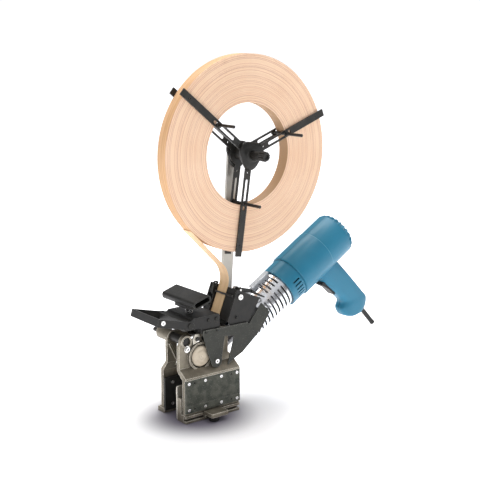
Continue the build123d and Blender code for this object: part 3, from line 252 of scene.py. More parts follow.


# %% [markdown]
# The castings, fences, plates and screws are all metal, but no two alike: sand-cast
# aluminium is warm and speckled, ground steel is streaked, the nickel shield is almost
# a mirror, and paint is dark with bright nicks on its edges. Every finish with an edge
# colour lightens its convex edges, partly as wear and partly as a painted highlight.

# %% Metal finishes
finishes = {}
finishes["cast_aluminium"] = finish(
    "sand-cast aluminium",
    (0.27, 0.24, 0.185),
    (0.16, 0.14, 0.105),
    patch=45,
    grain=1300,
    bump=0.35,
    gloss=(0.38, 0.55),
    metal=0.45,
    edge=(0.98, 0.92, 0.80),
    edge_radius=0.0017,
    edge_share=1.0,
    painted_hollow_shade=0.9,
    speckle=((0.22, 0.19, 0.15), 420, 0.02),
)
finishes["fence_steel"] = finish(
    "ground fence steel",
    (0.52, 0.49, 0.42),
    (0.38, 0.355, 0.30),
    patch=30,
    grain=240,
    stretch=(1, 1, 14),
    bump=0.12,
    gloss=(0.28, 0.42),
    metal=0.6,
    edge=(1.0, 0.97, 0.90),
    edge_radius=0.0011,
    painted_hollow_shade=0.8,
)
finishes["black_steel"] = finish(
    "oiled black steel",
    (0.012, 0.012, 0.011),
    (0.026, 0.024, 0.021),
    patch=80,
    grain=1100,
    bump=0.12,
    gloss=(0.32, 0.46),
    sheen=0.3,
    edge=(0.32, 0.31, 0.29),
    edge_radius=0.0004,
    edge_share=0.45,
)
finishes["bright_screws"] = finish(
    "bright zinc",
    (0.82, 0.82, 0.83),
    (0.66, 0.65, 0.62),
    patch=300,
    grain=2500,
    bump=0.05,
    gloss=(0.14, 0.26),
    metal=1.0,
    edge=(1.0, 1.0, 1.0),
    edge_radius=0.0003,
    painted_hollow_shade=0.8,
)
finishes["motor_steel"] = finish(
    "plain motor steel",
    (0.34, 0.34, 0.35),
    (0.22, 0.22, 0.23),
    patch=60,
    grain=900,
    bump=0.2,
    gloss=(0.35, 0.5),
    metal=0.9,
    edge=(0.7, 0.7, 0.7),
)
finishes["fin_grey"] = finish(
    "satin grey aluminium",
    (0.60, 0.62, 0.64),
    (0.48, 0.50, 0.52),
    patch=70,
    grain=500,
    stretch=(1, 12, 1),
    bump=0.06,
    gloss=(0.28, 0.4),
    metal=0.7,
    edge=(0.95, 0.96, 0.97),
)
finishes["post_steel"] = finish(
    "painted post",
    (0.38, 0.37, 0.34),
    (0.48, 0.47, 0.43),
    patch=26,
    grain=700,
    bump=0.1,
    gloss=(0.3, 0.42),
    metal=0.5,
    edge=(0.85, 0.84, 0.8),
)


def dark_where(tree, share, colour):
    """The colour, blackened by the share."""
    return blend_colour(tree, share, colour, (0.03, 0.03, 0.028))


def black_pivot(tree, place, colour, height):
    """The lever's pivot screws, next to the block, are black. The others stay bright."""
    axes = add(tree, "SeparateXYZ", {0: place})
    dark = fade(tree, axes.outputs["X"], pivot_low, pivot_low + 0.001)
    return dark_where(tree, dark, colour), height


def blackened_screws(tree, place, colour, height):
    """The screws of the black plates are black. Those above and below stay bright."""
    axes = add(tree, "SeparateXYZ", {0: place})
    above = fade(tree, axes.outputs["Z"], plate_low, plate_low + 0.001)
    below = fade(tree, axes.outputs["Z"], plate_high, plate_high - 0.001)
    dark = math_of(tree, "MULTIPLY", above, below)
    return dark_where(tree, dark, colour), height


pivot_low = -0.055
plate_low, plate_high = 0.1205, 0.1645
zinc_patches = {"patch": 300, "grain": 2500, "bump": 0.05, "metal": 1.0, "painted_hollow_shade": 0.8}
finishes["lever_screws"] = finish(
    "lever screws",
    (0.82, 0.82, 0.83),
    (0.66, 0.65, 0.62),
    gloss=(0.18, 0.3),
    extra=black_pivot,
    **zinc_patches,
)
finishes["chassis_screws"] = finish(
    "chassis screws",
    (0.82, 0.82, 0.83),
    (0.66, 0.65, 0.62),
    gloss=(0.18, 0.3),
    edge_radius=0.0003,
    extra=blackened_screws,
    **zinc_patches,
)

# %% Painted and plastic finishes
finishes["slate_paint"] = finish(
    "slate enamel",
    (0.026, 0.028, 0.023),
    (0.040, 0.041, 0.034),
    patch=45,
    grain=800,
    bump=0.10,
    gloss=(0.36, 0.48),
    sheen=0.25,
    edge=(0.34, 0.34, 0.31),
    edge_radius=0.0006,
    edge_share=0.75,
    speckle=((0.085, 0.085, 0.075), 520, 0.0),
)
finishes["black_paint"] = finish(
    "black stove paint",
    (0.010, 0.010, 0.0095),
    (0.020, 0.019, 0.017),
    patch=60,
    grain=1500,
    bump=0.14,
    gloss=(0.34, 0.48),
    sheen=0.28,
    edge=(0.17, 0.17, 0.155),
    edge_radius=0.0005,
    edge_share=0.5,
)
finishes["pad_plastic"] = finish(
    "mottled fence pad",
    (0.032, 0.036, 0.027),
    (0.088, 0.091, 0.072),
    patch=90,
    grain=1700,
    bump=0.3,
    gloss=(0.46, 0.64),
    sheen=0.3,
    edge=(0.30, 0.31, 0.26),
    edge_radius=0.0006,
    edge_share=0.9,
    speckle=((0.14, 0.14, 0.12), 650, 0.02),
)
finishes["black_plastic"] = finish(
    "grained black plastic",
    (0.010, 0.010, 0.009),
    (0.019, 0.018, 0.016),
    patch=50,
    grain=2200,
    bump=0.22,
    gloss=(0.40, 0.52),
    sheen=0.3,
    edge=(0.07, 0.07, 0.06),
    edge_radius=0.0009,
    edge_share=0.9,
)
finishes["cream_plastic"] = finish(
    "cream moulding",
    (0.62, 0.54, 0.42),
    (0.52, 0.44, 0.33),
    patch=90,
    grain=1200,
    bump=0.08,
    gloss=(0.3, 0.42),
    painted_hollow_shade=0.6,
    edge=(0.85, 0.80, 0.70),
)
finishes["roller_rubber"] = finish(
    "roller rubber",
    (0.07, 0.068, 0.065),
    (0.10, 0.098, 0.09),
    patch=90,
    grain=1600,
    bump=0.3,
    gloss=(0.6, 0.75),
)
finishes["fan_plastic"] = finish(
    "fan moulding",
    (0.80, 0.77, 0.69),
    (0.72, 0.69, 0.60),
    gloss=(0.4, 0.5),
    bump=0.06,
)
finishes["mica"] = finish(
    "mica sheet",
    (0.74, 0.69, 0.55),
    (0.58, 0.50, 0.36),
    patch=150,
    grain=500,
    bump=0.15,
    gloss=(0.2, 0.4),
    speckle=((0.40, 0.30, 0.18), 300, 0.0),
)
print(len(finishes), "finishes so far")

# %% [markdown]
# The gun's axis rises at 32 degrees from the nozzle to the cap. Patterns on the casing
# follow that slope, so the place along the axis is worked out once, as the dot product
# of the place less the nose with the axis's direction.

# %% The gun's axis, from the collar's own box
gun_tilt = math.radians(32)
collar_low, collar_high = (np.array(corner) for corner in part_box("gun_collar"))
cap_low, cap_high = (np.array(corner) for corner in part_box("vent_cap"))
cap_middle = (cap_low + cap_high) / 2
gun_along = np.array([math.cos(gun_tilt), 0.0, math.sin(gun_tilt)])
gun_side = np.array([0.0, 1.0, 0.0])
gun_up = np.array([-math.sin(gun_tilt), 0.0, math.cos(gun_tilt)])
collar_radius = (collar_high[1] - collar_low[1]) / 2
collar_length = 0.029
collar_middle = (collar_low + collar_high) / 2
gun_nose = collar_middle - gun_along * collar_length / 2
print("gun nose at", gun_nose.round(4))


# %% Blue casing and nickel shield
def from_nose(tree, place):
    """The way from the gun's nose to the place."""
    away = {0: place, 1: tuple(gun_nose)}
    return add(tree, "VectorMath", away, operation="SUBTRACT").outputs[0]


def along_gun(tree, place):
    """Metres along the gun's axis from its nose."""
    both = {0: from_nose(tree, place), 1: tuple(gun_along)}
    return add(tree, "VectorMath", both, operation="DOT_PRODUCT").outputs["Value"]


def from_gun_axis(tree, place):
    """Metres from the gun's axis: the length of the cross product with its direction."""
    both = {0: from_nose(tree, place), 1: tuple(gun_along)}
    crossed = add(tree, "VectorMath", both, operation="CROSS_PRODUCT").outputs[0]
    return add(tree, "VectorMath", {0: crossed}, operation="LENGTH").outputs["Value"]


seam_y = float(gun_nose[1])
band_at = 0.095
grip_top = 0.196


def near(tree, value, where, half):
    """1 within half of where, falling to 0 at twice that."""
    away = math_of(tree, "ABSOLUTE", math_of(tree, "SUBTRACT", value, where))
    return fade(tree, away, 2 * half, half)


def casing_lines(tree, place, colour, height):
    """The dark seam between the two half shells, and a lighter line round the body at its moulded
    step, which is a painted highlight.
    """
    axes = add(tree, "SeparateXYZ", {0: place})
    seam = near(tree, axes.outputs["Y"], seam_y, 0.00025)
    colour = blend_colour(tree, seam, colour, (0.006, 0.03, 0.05))
    s = along_gun(tree, place)
    line = near(tree, s, band_at, 0.0004)
    grip_free = fade(tree, axes.outputs["Z"], grip_top, grip_top + 0.008)
    # Painted highlight: a lighter blue line where the body steps in.
    painted_step_highlight = math_of(tree, "MULTIPLY", math_of(tree, "MULTIPLY", line, grip_free), 0.5)
    colour = blend_colour(tree, painted_step_highlight, colour, (0.12, 0.36, 0.48))
    height = math_of(tree, "SUBTRACT", height, math_of(tree, "MULTIPLY", seam, 3.0))
    return colour, height


finishes["blue_plastic"] = finish(
    "blue moulded casing",
    (0.016, 0.158, 0.258),
    (0.022, 0.180, 0.288),
    patch=22,
    grain=1300,
    bump=0.10,
    gloss=(0.36, 0.46),
    sheen=0.34,
    edge=(0.06, 0.26, 0.38),
    edge_radius=0.0012,
    edge_share=1.0,
    painted_hollow_shade=0.5,
    coat=0.04,
    extra=casing_lines,
)


def heat_tint_and_inner_shade(tree, place, colour, height):
    """Straw and brown heat colours near the collar, and a dark blue inner wall that is painted
    shade inside the shield.
    """
    out = from_gun_axis(tree, place)
    # Painted shade: inside the shield's wall the colour turns dark blue.
    painted_inner_shade = fade(tree, out, shield_inside, shield_inside - 0.0003)
    colour = blend_colour(tree, painted_inner_shade, colour, (0.020, 0.036, 0.055))
    hot = fade(tree, along_gun(tree, place), -0.09, -0.002)
    patchy = fade(tree, cloud(tree, place, 70.0, 3.0), 0.5, 0.72)
    tinted = math_of(tree, "MULTIPLY", math_of(tree, "MULTIPLY", hot, patchy), 0.55)
    return blend_colour(tree, tinted, colour, (0.62, 0.42, 0.22)), height


shield_low, shield_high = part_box("heat_shield")
shield_radius = float(shield_high[1] - shield_low[1]) / 2
shield_inside = shield_radius - 0.0006
finishes["nickel_sheet"] = finish(
    "bright nickel sheet",
    (0.86, 0.87, 0.90),
    (0.74, 0.76, 0.80),
    patch=60,
    grain=700,
    bump=0.05,
    gloss=(0.16, 0.28),
    metal=1.0,
    edge=(1.0, 1.0, 1.0),
    edge_radius=0.0004,
    painted_hollow_shade=0.55,
    extra=heat_tint_and_inner_shade,
)

# %% [markdown]
# Edging is veneer glued to paper and wound with the glue inside. From the side a coil
# shows one fine line per turn, each a little darker or redder than its neighbour, so
# the colour depends on the distance from the reel's centre. The strip itself shows
# grain that runs along its length, so its noise changes across the width only.

# %% Wood edging
roll_low, roll_high = (np.array(corner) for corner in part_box("tape_roll"))
reel_centre = (roll_low + roll_high) / 2
roll_radius = float(roll_high[0] - roll_low[0]) / 2
tape_width = float(roll_high[1] - roll_low[1])
bore_radius = 0.0779


def coil_lines(tree, place, colour, height):
    """Lines one turn apart on the sides, long grain on the rim and in the bore, and a darker bore
    that is painted shade.
    """
    moved = add(
        tree, "VectorMath", {0: place, 1: tuple(reel_centre)}, operation="SUBTRACT"
    ).outputs[0]
    flat = add(
        tree, "VectorMath", {0: moved, 1: (1.0, 0.0, 1.0)}, operation="MULTIPLY"
    ).outputs[0]
    out = add(tree, "VectorMath", {0: flat}, operation="LENGTH").outputs["Value"]
    axes = add(tree, "SeparateXYZ", {0: moved})
    wander = math_of(tree, "MULTIPLY", cloud(tree, place, 9.0, 2.0), 0.004)
    turn = math_of(tree, "ADD", out, wander)

    def lines(scale, detail=2.0):
        noise = add(
            tree,
            "TexNoise",
            {"W": turn, "Scale": scale, "Detail": detail},
            noise_dimensions="1D",
        )
        return noise.outputs["Fac"]

    colour = blend_colour(
        tree,
        math_of(tree, "MULTIPLY", fade(tree, lines(420), 0.5, 0.68), 0.6),
        colour,
        (0.74, 0.46, 0.31),
    )
    colour = blend_colour(
        tree, fade(tree, lines(1100, 3.0), 0.54, 0.64), colour, (0.60, 0.35, 0.25)
    )
    colour = blend_colour(
        tree,
        math_of(tree, "MULTIPLY", fade(tree, lines(110), 0.5, 0.7), 0.45),
        colour,
        (0.90, 0.68, 0.48),
    )
    side = fade(
        tree,
        math_of(tree, "ABSOLUTE", axes.outputs["Y"]),
        tape_width / 2 - 0.0012,
        tape_width / 2 - 0.0008,
    )
    long_grain = cloud(tree, place, 60.0, 3.0, (0.2, 9.0, 0.2))
    face = blend_colour(
        tree, fade(tree, long_grain, 0.35, 0.65), (0.74, 0.46, 0.25), (0.60, 0.34, 0.16)
    )
    # Painted shade: the face turns dark brown towards the bore.
    bore = fade(tree, out, bore_radius + 0.02, bore_radius + 0.004)
    face = blend_colour(tree, bore, face, (0.42, 0.25, 0.13))
    colour = blend_colour(tree, side, face, colour)
    return colour, lines(1500)


def strip_grain(tree, place, colour, height):
    """Grain across the width, and a browner foot where the edging meets the bed."""
    axes = add(tree, "SeparateXYZ", {0: place})
    grain = cloud(tree, place, 70.0, 4.0, (0.12, 8.0, 0.12))
    colour = blend_colour(tree, fade(tree, grain, 0.38, 0.66), colour, (0.78, 0.50, 0.27))
    streak = cloud(tree, place, 160.0, 2.0, (0.1, 8.0, 0.1))
    colour = blend_colour(tree, fade(tree, streak, 0.6, 0.7), colour, (0.62, 0.38, 0.19))
    foot = fade(tree, axes.outputs["Z"], 0.235, 0.17)
    colour = blend_colour(
        tree, math_of(tree, "MULTIPLY", foot, 0.45), colour, (0.50, 0.38, 0.22)
    )
    return colour, streak


finishes["edging_coil"] = finish(
    "coiled edging",
    (0.90, 0.67, 0.48),
    (0.86, 0.61, 0.42),
    patch=14,
    bump=0.35,
    gloss=(0.6, 0.75),
    painted_hollow_shade=0.0,
    edge_radius=0.0003,
    extra=coil_lines,
)
finishes["edging"] = finish(
    "edging strip",
    (0.95, 0.66, 0.38),
    (0.88, 0.58, 0.31),
    patch=30,
    bump=0.15,
    gloss=(0.5, 0.65),
    painted_hollow_shade=0.3,
    edge_radius=0.0003,
    extra=strip_grain,
)

# %% [markdown]
# New meshes are grids of points. A grid with `rows` times `columns` points needs one
# quad per cell, and a grid that closes on itself in one or both directions joins its
# last row or column to its first.


# %% Mesh helpers
def grid_faces(rows, columns, close_rows=True, close_columns=True):
    """Quads between neighbouring points, numbered row by row."""
    i = np.arange(rows if close_rows else rows - 1)[:, None]
    j = np.arange(columns if close_columns else columns - 1)[None, :]
    i2, j2 = (i + 1) % rows, (j + 1) % columns
    corners = (i * columns + j, i2 * columns + j, i2 * columns + j2, i * columns + j2)
    return np.stack(corners, axis=-1).reshape(-1, 4)


def outward(points, faces):
    """The faces turned so that the closed shell's volume comes out positive."""
    a, b, c = (points[faces[:, k]] for k in range(3))
    volume = np.einsum("ij,ij->i", a, np.cross(b, c)).sum()
    if faces.shape[1] == 4:
        d = points[faces[:, 3]]
        volume += np.einsum("ij,ij->i", a, np.cross(c, d)).sum()
    return faces if volume > 0 else faces[:, ::-1]


def make_piece(name, points, faces, body, material, stands_for=(), sharp=35):
    """Put the arrays in a mesh, shade it smooth up to `sharp` degrees, and mount it."""
    mesh = bpy.data.meshes.new(name)
    mesh.from_pydata(points.tolist(), [], [list(map(int, face)) for face in faces])
    mesh.update()
    mesh.shade_smooth()
    mesh.set_sharp_from_angle(angle=math.radians(sharp))
    mesh.materials.append(material)
    piece = bpy.data.objects.new(name, mesh)
    bpy.context.scene.collection.objects.link(piece)
    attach(piece, body)
    if stands_for:
        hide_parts(*stands_for)
    print(f"{name}: {len(points)} points, {len(faces)} faces")
    return piece


def soften(profile, radius, steps=4):
    """Round each corner P of a closed outline with a curve from P + c d1 to P + c d2.

    d1 and d2 point at the neighbours, and c is the radius or at most 0.45 of a side.
    """
    profile = np.asarray(profile, float)
    before = np.roll(profile, 1, axis=0) - profile
    after = np.roll(profile, -1, axis=0) - profile
    reach_before = np.linalg.norm(before, axis=1, keepdims=True)
    reach_after = np.linalg.norm(after, axis=1, keepdims=True)
    radius = np.broadcast_to(np.asarray(radius, float), (len(profile),))[:, None]
    cut = np.minimum(radius, 0.45 * np.minimum(reach_before, reach_after))
    start = profile + before / reach_before * cut
    end = profile + after / reach_after * cut
    t = np.linspace(0, 1, steps)[None, :, None]
    rounded = (
        (1 - t) ** 2 * start[:, None] + 2 * t * (1 - t) * profile[:, None] + t**2 * end[:, None]
    )
    return rounded.reshape(-1, 2)


def lathe(profile, centre, along, across, segments=96, waves=0, depth=0.0, wavy=None):
    """Turn an outline of (radius, height) points about the line through centre.

    The point at angle a is centre + height * along + radius * (cos a * across +
    sin a * (along x across)). Where wavy is 1 the radius is scaled by
    1 - depth * (1 - cos(waves * a)) / 2, which flutes a knob or lobes a hub.
    """
    profile = np.asarray(profile, float)
    along, across = np.asarray(along, float), np.asarray(across, float)
    third = np.cross(along, across)
    angle = np.linspace(0, 2 * np.pi, segments, endpoint=False)
    flute = depth * (1 - np.cos(waves * angle)) / 2
    weight = np.zeros(len(profile)) if wavy is None else np.asarray(wavy, float)
    radius = profile[None, :, 0] * (1 - flute[:, None] * weight[None, :])
    spoke = np.cos(angle)[:, None, None] * across + np.sin(angle)[:, None, None] * third
    points = centre + profile[None, :, 1, None] * along + radius[:, :, None] * spoke
    points = points.reshape(-1, 3)
    return points, outward(points, grid_faces(segments, len(profile)))


# %% [markdown]
# A CAD mesh is loose triangles, which always shade flat. On a round part that shows as
# facets, so those parts are copied with their equal corners merged. The copy can then
# shade smoothly over gentle turns and stay crisp at real edges.


# %% Smooth copies of the round CAD pieces
def merged(node_names):
    """Corners equal to a hundredth of a millimetre become one, over several nodes."""
    all_points, all_faces, start = [], [], 0
    for node_name in node_names:
        mesh = nodes[node_name].data
        corners = np.empty(3 * len(mesh.vertices), np.float32)
        mesh.vertices.foreach_get("co", corners)
        loops = np.empty(len(mesh.loops), np.int32)
        mesh.loops.foreach_get("vertex_index", loops)
        points, same = np.unique(corners.reshape(-1, 3).round(6), axis=0, return_inverse=True)
        faces = same.reshape(-1)[loops].reshape(-1, 3)
        keep = (
            (faces[:, 0] != faces[:, 1])
            & (faces[:, 1] != faces[:, 2])
            & (faces[:, 0] != faces[:, 2])
        )
        all_points.append(points)
        all_faces.append(faces[keep] + start)
        start += len(points)
    return np.concatenate(all_points), np.concatenate(all_faces)


def smooth_copy(name, *node_names, material=None, sharp=32):
    """A merged copy that stands for the nodes and rides on the first one's body."""
    points, faces = merged(node_names)
    first = node_names[0]
    slot = slot_of[first]
    body = nodes[first]["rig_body"]
    return make_piece(
        name, points, faces, body, material or finishes[slot], node_names, sharp
    )


replaced = set()
special = {
    "chassis_screws": finishes["chassis_screws"],
    "stop_block": finishes["cast_aluminium"],
    "latch_loop": finishes["black_steel"],
    "guide_rod": finishes["black_steel"],
    "nozzle": finishes["motor_steel"],
    "bail_fasteners": finishes["lever_screws"],
}


def copy_nodes(names):
    """A smooth copy of each node, in its slot's finish or in a special one."""
    for node_name in names:
        smooth_copy(node_name + "_smooth", node_name, material=special.get(node_name))
        replaced.add(node_name)


copy_nodes(
    [
        "gun_collar",
        "heat_shield",
        "nozzle",
        "shield_fin",
        "shield_clamps",
        "rocker_switch",
        "front_casting",
        "rear_casting",
        "palm_grip",
        "tape_strip",
        "tape_bed",
        "pedestal",
        "blade_carrier",
        "cutter_block",
        "latch_loop",
        "latch_lever",
        "bail_arms",
        "bail_bar",
        "bail_fasteners",
        "guide_cheeks",
        "guide_rod",
        "guide_shafts",
        "rod_clip",
        "spacers",
        "stop_block",
        "chassis_screws",
        "pad_screws",
        "rear_pad_screws",
        "reel_axle",
        "reel_arms",
        "tape_pin_a",
        "tape_pin_b",
        "tape_pin_c",
        "roller_axle",
        "heating_element",
        "motor",
        "rotor",
    ]
)

# %% [markdown]
# The coil of edging is the biggest thing in view. Its outline is a ring's section, and
# on both sides the outline steps in and out once per turn, since a coil is never wound
# quite level. Turning that outline round the reel's axis gives the whole coil.

# %% The coil
turns = 70
rng = np.random.default_rng(7)
turn_edges = np.linspace(bore_radius, roll_radius, turns + 1)
offset = rng.uniform(-0.00022, 0.0, turns)
wall = turn_edges[1] - turn_edges[0]
inner_edge, outer_edge = turn_edges[:-1] + 0.12 * wall, turn_edges[1:] - 0.12 * wall
groove = offset - 0.00035
side_radius = np.stack([inner_edge, outer_edge, turn_edges[1:]], axis=1).ravel()[:-1]
side_height = tape_width / 2 + np.stack([offset, offset, groove], axis=1).ravel()[:-1]
front_side = np.stack([side_radius, -side_height], axis=1)
back_side = np.stack([side_radius, side_height], axis=1)[::-1]
coil_outline = np.concatenate(
    [
        [[bore_radius, -tape_width / 2 + 0.0006]],
        front_side,
        [[roll_radius, -tape_width / 2 + 0.0006], [roll_radius, tape_width / 2 - 0.0006]],
        back_side,
        [[bore_radius, tape_width / 2 - 0.0006]],
    ]
)
coil_points, coil_faces = lathe(coil_outline, reel_centre, (0, 1, 0), (1, 0, 0), 168)
make_piece(
    "coil_of_edging",
    coil_points,
    coil_faces,
    "reel",
    finishes["edging_coil"],
    ("tape_roll",),
    sharp=60,
)
replaced.add("tape_roll")

# %% [markdown]
# The two blue half shells meet at a seam in the middle. The body is one outline turned
# about the gun's axis, a little slimmer behind its moulded line. The grip is a row of
# rounded rectangles: each spans the front and back of the grip at one height, and a
# power of 2/3 on the sine and cosine squares them off, as a superellipse does.

# %% The blue casing
body_radius = 0.0375
shell_wall = 0.0025
cap_depth = 0.012
body_end = float((cap_middle - gun_nose) @ gun_along) - cap_depth / 2
step_in = 0.0006
body_outline = [
    (body_radius - shell_wall, collar_length),
    (body_radius - 0.0012, collar_length),
    (body_radius, collar_length + 0.0016),
    (body_radius, band_at - 0.0006),
    (body_radius - 0.0009, band_at),
    (body_radius - step_in, band_at + 0.0008),
    (body_radius - step_in, body_end - 0.0002),
    (body_radius - step_in - 0.0002, body_end),
    (body_radius - shell_wall, body_end),
]
body_points, body_faces = lathe(
    soften(body_outline, 0.0006, 3), gun_nose, gun_along, gun_side, 128
)


def grip_sections(front, back, depth, rounds, steps=14, around=64, power=2.9):
    """Superellipses between matching points of the front and back lines.

    Between stations the values follow Catmull-Rom curves. At angle a the section is
    middle + half span * sgn(cos a)|cos a|^(2/n) + half depth * sgn(sin a)|sin a|^(2/n).
    The last sections shrink on a quarter circle to close the end.
    """
    stations = np.concatenate([front, back, depth[:, None]], axis=1)
    padded = np.concatenate([stations[:1], stations, stations[-1:]])
    t = np.linspace(0, 1, steps, endpoint=False)[None, :, None]
    p0, p1, p2, p3 = (padded[k : k + len(stations) - 1, None] for k in range(4))
    flow = 0.5 * (
        2 * p1
        + (p2 - p0) * t
        + (2 * p0 - 5 * p1 + 4 * p2 - p3) * t**2
        + (3 * p1 - p0 - 3 * p2 + p3) * t**3
    ).reshape(-1, stations.shape[1])
    flow = np.concatenate([flow, stations[-1:]])
    start, end = flow[:, 0:2], flow[:, 2:4]
    middle, half = (start + end) / 2, (end - start) / 2
    angle = np.linspace(0, 2 * np.pi, around, endpoint=False)
    square = 2 / power
    span = np.sign(np.cos(angle)) * np.abs(np.cos(angle)) ** square
    rise = np.sign(np.sin(angle)) * np.abs(np.sin(angle)) ** square
    closing = np.sqrt(np.maximum(1 - np.linspace(0, 1, rounds) ** 2, 0.0))
    sink = np.linspace(0, 1, rounds)[:, None] * np.array([0.0025, -0.0035])
    scale = np.concatenate([np.ones(len(flow)), closing[1:-1], [0.02]])
    middle = np.concatenate([middle, middle[-1] + sink[1:]])
    half = np.concatenate([half, np.repeat(half[-1:], rounds - 1, axis=0)])
    thick = np.concatenate([flow[:, 4], np.repeat(flow[-1:, 4], rounds - 1)])
    points = np.zeros((len(middle), around, 3))
    in_plane = middle[:, None] + half[:, None] * (span[None, :, None] * scale[:, None, None])
    points[:, :, 0], points[:, :, 2] = in_plane[:, :, 0], in_plane[:, :, 1]
    points[:, :, 1] = seam_y + thick[:, None] / 2 * rise[None, :] * scale[:, None]
    return points


def close_ends(rings):
    """A tube of rings in triangles, each end closed by a fan, all facing outwards.

    rings has one row of points per section, and a fan meets in its section's mean.
    """
    rows, around = rings.shape[:2]
    faces = grid_faces(rows, around, close_rows=False)
    points = np.concatenate([rings.reshape(-1, 3), rings[[0, -1]].mean(axis=1)])
    first_mean, last_mean = rows * around, rows * around + 1
    j = np.arange(around)
    j2 = (j + 1) % around
    last = (rows - 1) * around
    fans = (
        np.stack([j, j2, np.full(around, first_mean)], axis=1),
        np.stack([last + j2, last + j, np.full(around, last_mean)], axis=1),
    )
    triangles = np.concatenate([faces[:, [0, 1, 2]], faces[:, [0, 2, 3]], *fans])
    return points, outward(points, triangles)


grip_front = np.array(
    [
        (0.2330, 0.1900),
        (0.2500, 0.1655),
        (0.2740, 0.1440),
        (0.2945, 0.1255),
        (0.2915, 0.1120),
        (0.2975, 0.1010),
        (0.3060, 0.0975),
    ]
)
grip_back = np.array(
    [
        (0.2620, 0.2140),
        (0.2850, 0.1930),
        (0.3130, 0.1650),
        (0.3370, 0.1400),
        (0.3490, 0.1270),
        (0.3465, 0.1120),
        (0.3390, 0.1050),
    ]
)
grip_depth = np.array([0.034, 0.034, 0.0335, 0.033, 0.034, 0.034, 0.033])
grip_points, grip_faces = close_ends(grip_sections(grip_front, grip_back, grip_depth, 6))
body_triangles = np.concatenate([body_faces[:, [0, 1, 2]], body_faces[:, [0, 2, 3]]])
make_piece(
    "blue_casing",
    np.concatenate([body_points, grip_points]),
    np.concatenate([body_triangles, grip_faces + len(body_points)]),
    "frame",
    finishes["blue_plastic"],
    ("gun_shell_front", "gun_shell_rear"),
    sharp=40,
)
replaced.update(["gun_shell_front", "gun_shell_rear"])

# %% [markdown]
# The rear cap is a shallow dome. Cooling air enters through a ring of notches round its
# shoulder, which the flutes of the same turning function cut.

# %% The rear cap
dome_edge = 0.013
cap_radius = body_radius - step_in
t = np.linspace(0, np.pi / 2, 14)
dome = np.stack(
    [
        cap_radius - dome_edge + dome_edge * np.cos(t),
        body_end + (cap_depth - 0.001) * np.sin(t),
    ],
    axis=1,
)
cap_outline = np.concatenate(
    [[[0.0004, body_end]], dome, [[0.0004, body_end + cap_depth - 0.0002]]]
)
notched = np.concatenate([[0], np.sin(2 * t) ** 0.5 * (t > 0.12), [0]])
cap_points, cap_faces = lathe(
    cap_outline, gun_nose, gun_along, gun_side, 216, waves=24, depth=0.13, wavy=notched
)
make_piece(
    "notched_rear_cap",
    cap_points,
    cap_faces,
    "frame",
    finishes["blue_plastic"],
    ("vent_cap",),
    sharp=50,
)
replaced.add("vent_cap")

# %% [markdown]
# Knobs, caps, rollers and sleeves are all turned parts. Each is an outline of radius
# and height, softened at its corners, and turned about the axis that its CAD box gives.


# %% Turned parts along Y and Z
def box_centre(node_name):
    """The middle of a node's box, and half its size."""
    low, high = (np.array(corner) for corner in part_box(node_name))
    return (low + high) / 2, (high - low) / 2


def turned(name, node_name, outline, axis, round_by=0.0008, material=None, **flutes):
    """Turn shares of the node's own radius and length: (1, -1) is its low outer rim."""
    centre, half = box_centre(node_name)
    along = np.eye(3)[axis]
    across = np.eye(3)[(axis + 1) % 3]
    radius, length = half[(axis + 1) % 3], half[axis]
    scaled = np.array(outline) * (radius, length)
    rounded = soften(scaled, round_by, 4)
    wavy = (rounded[:, 0] > 0.85 * radius).astype(float)
    points, faces = lathe(rounded, centre, along, across, 120, wavy=wavy, **flutes)
    slot = slot_of[node_name]
    body = nodes[node_name]["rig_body"]
    piece = make_piece(
        name, points, faces, body, material or finishes[slot], (node_name,), 40
    )
    replaced.add(node_name)
    return piece


turned(
    "fluted_reel_knob",
    "hub_knob",
    [(0.42, -1), (0.9, -1), (1, -0.8), (1, -0.25), (0.8, -0.18), (0.8, 1), (0.42, 1)],
    1,
    waves=10,
    depth=0.12,
)
turned(
    "knurled_stop_knob",
    "stop_knob",
    [(0.3, -1), (0.92, -1), (1, -0.75), (1, 0.75), (0.92, 1), (0.3, 1)],
    2,
    round_by=0.0005,
    waves=24,
    depth=0.08,
)
turned(
    "cream_roller_cap",
    "roller_cap",
    [
        (0.02, -0.82),
        (0.25, -0.82),
        (0.30, -1),
        (0.52, -1),
        (0.62, -0.78),
        (0.88, -0.70),
        (1, -0.35),
        (1, 0.9),
        (0.95, 1),
        (0.02, 1),
    ],
    1,
    round_by=0.0010,
)
turned(
    "rubber_pressing_roller",
    "pressing_roller",
    [(0.34, -1), (0.93, -1), (1, -0.9), (1, 0.9), (0.93, 1), (0.34, 1)],
    1,
    round_by=0.0012,
)

# %% [markdown]
# Each reel hub is a black moulding that clamps three arms, so its rim bulges towards
# each arm. The lobes come from a cosine that goes round three times.

# %% The hubs
hub_low, hub_high = (np.array(corner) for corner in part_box("reel_hubs"))
hub_radius = float(hub_high[0] - hub_low[0]) / 2
arm_turn = math.radians(21)
arm_direction = np.array([math.cos(arm_turn), 0.0, math.sin(arm_turn)])
front_hub = [
    (0.0052, 0.0050),
    (0.0100, 0.0048),
    (0.0115, 0.0062),
    (0.0175, 0.0064),
    (0.0225, 0.0078),
    (hub_radius, 0.0095),
    (hub_radius, 0.0134),
    (0.0052, 0.0134),
]
back_hub = [
    (0.0052, 0.0426),
    (hub_radius, 0.0426),
    (hub_radius, 0.0458),
    (0.0210, 0.0476),
    (0.0110, 0.0479),
    (0.0052, 0.0479),
]
hub_meshes = []
reel_line = np.array([reel_centre[0], 0.0, reel_centre[2]])
for outline in (front_hub, back_hub):
    rounded = soften(outline, 0.0012, 4)
    on_rim = (rounded[:, 0] > 0.6 * hub_radius).astype(float)
    hub_meshes.append(
        lathe(rounded, reel_line, (0, 1, 0), arm_direction, 120, 3, 0.22, on_rim)
    )
hub_points = np.concatenate([points for points, _ in hub_meshes])
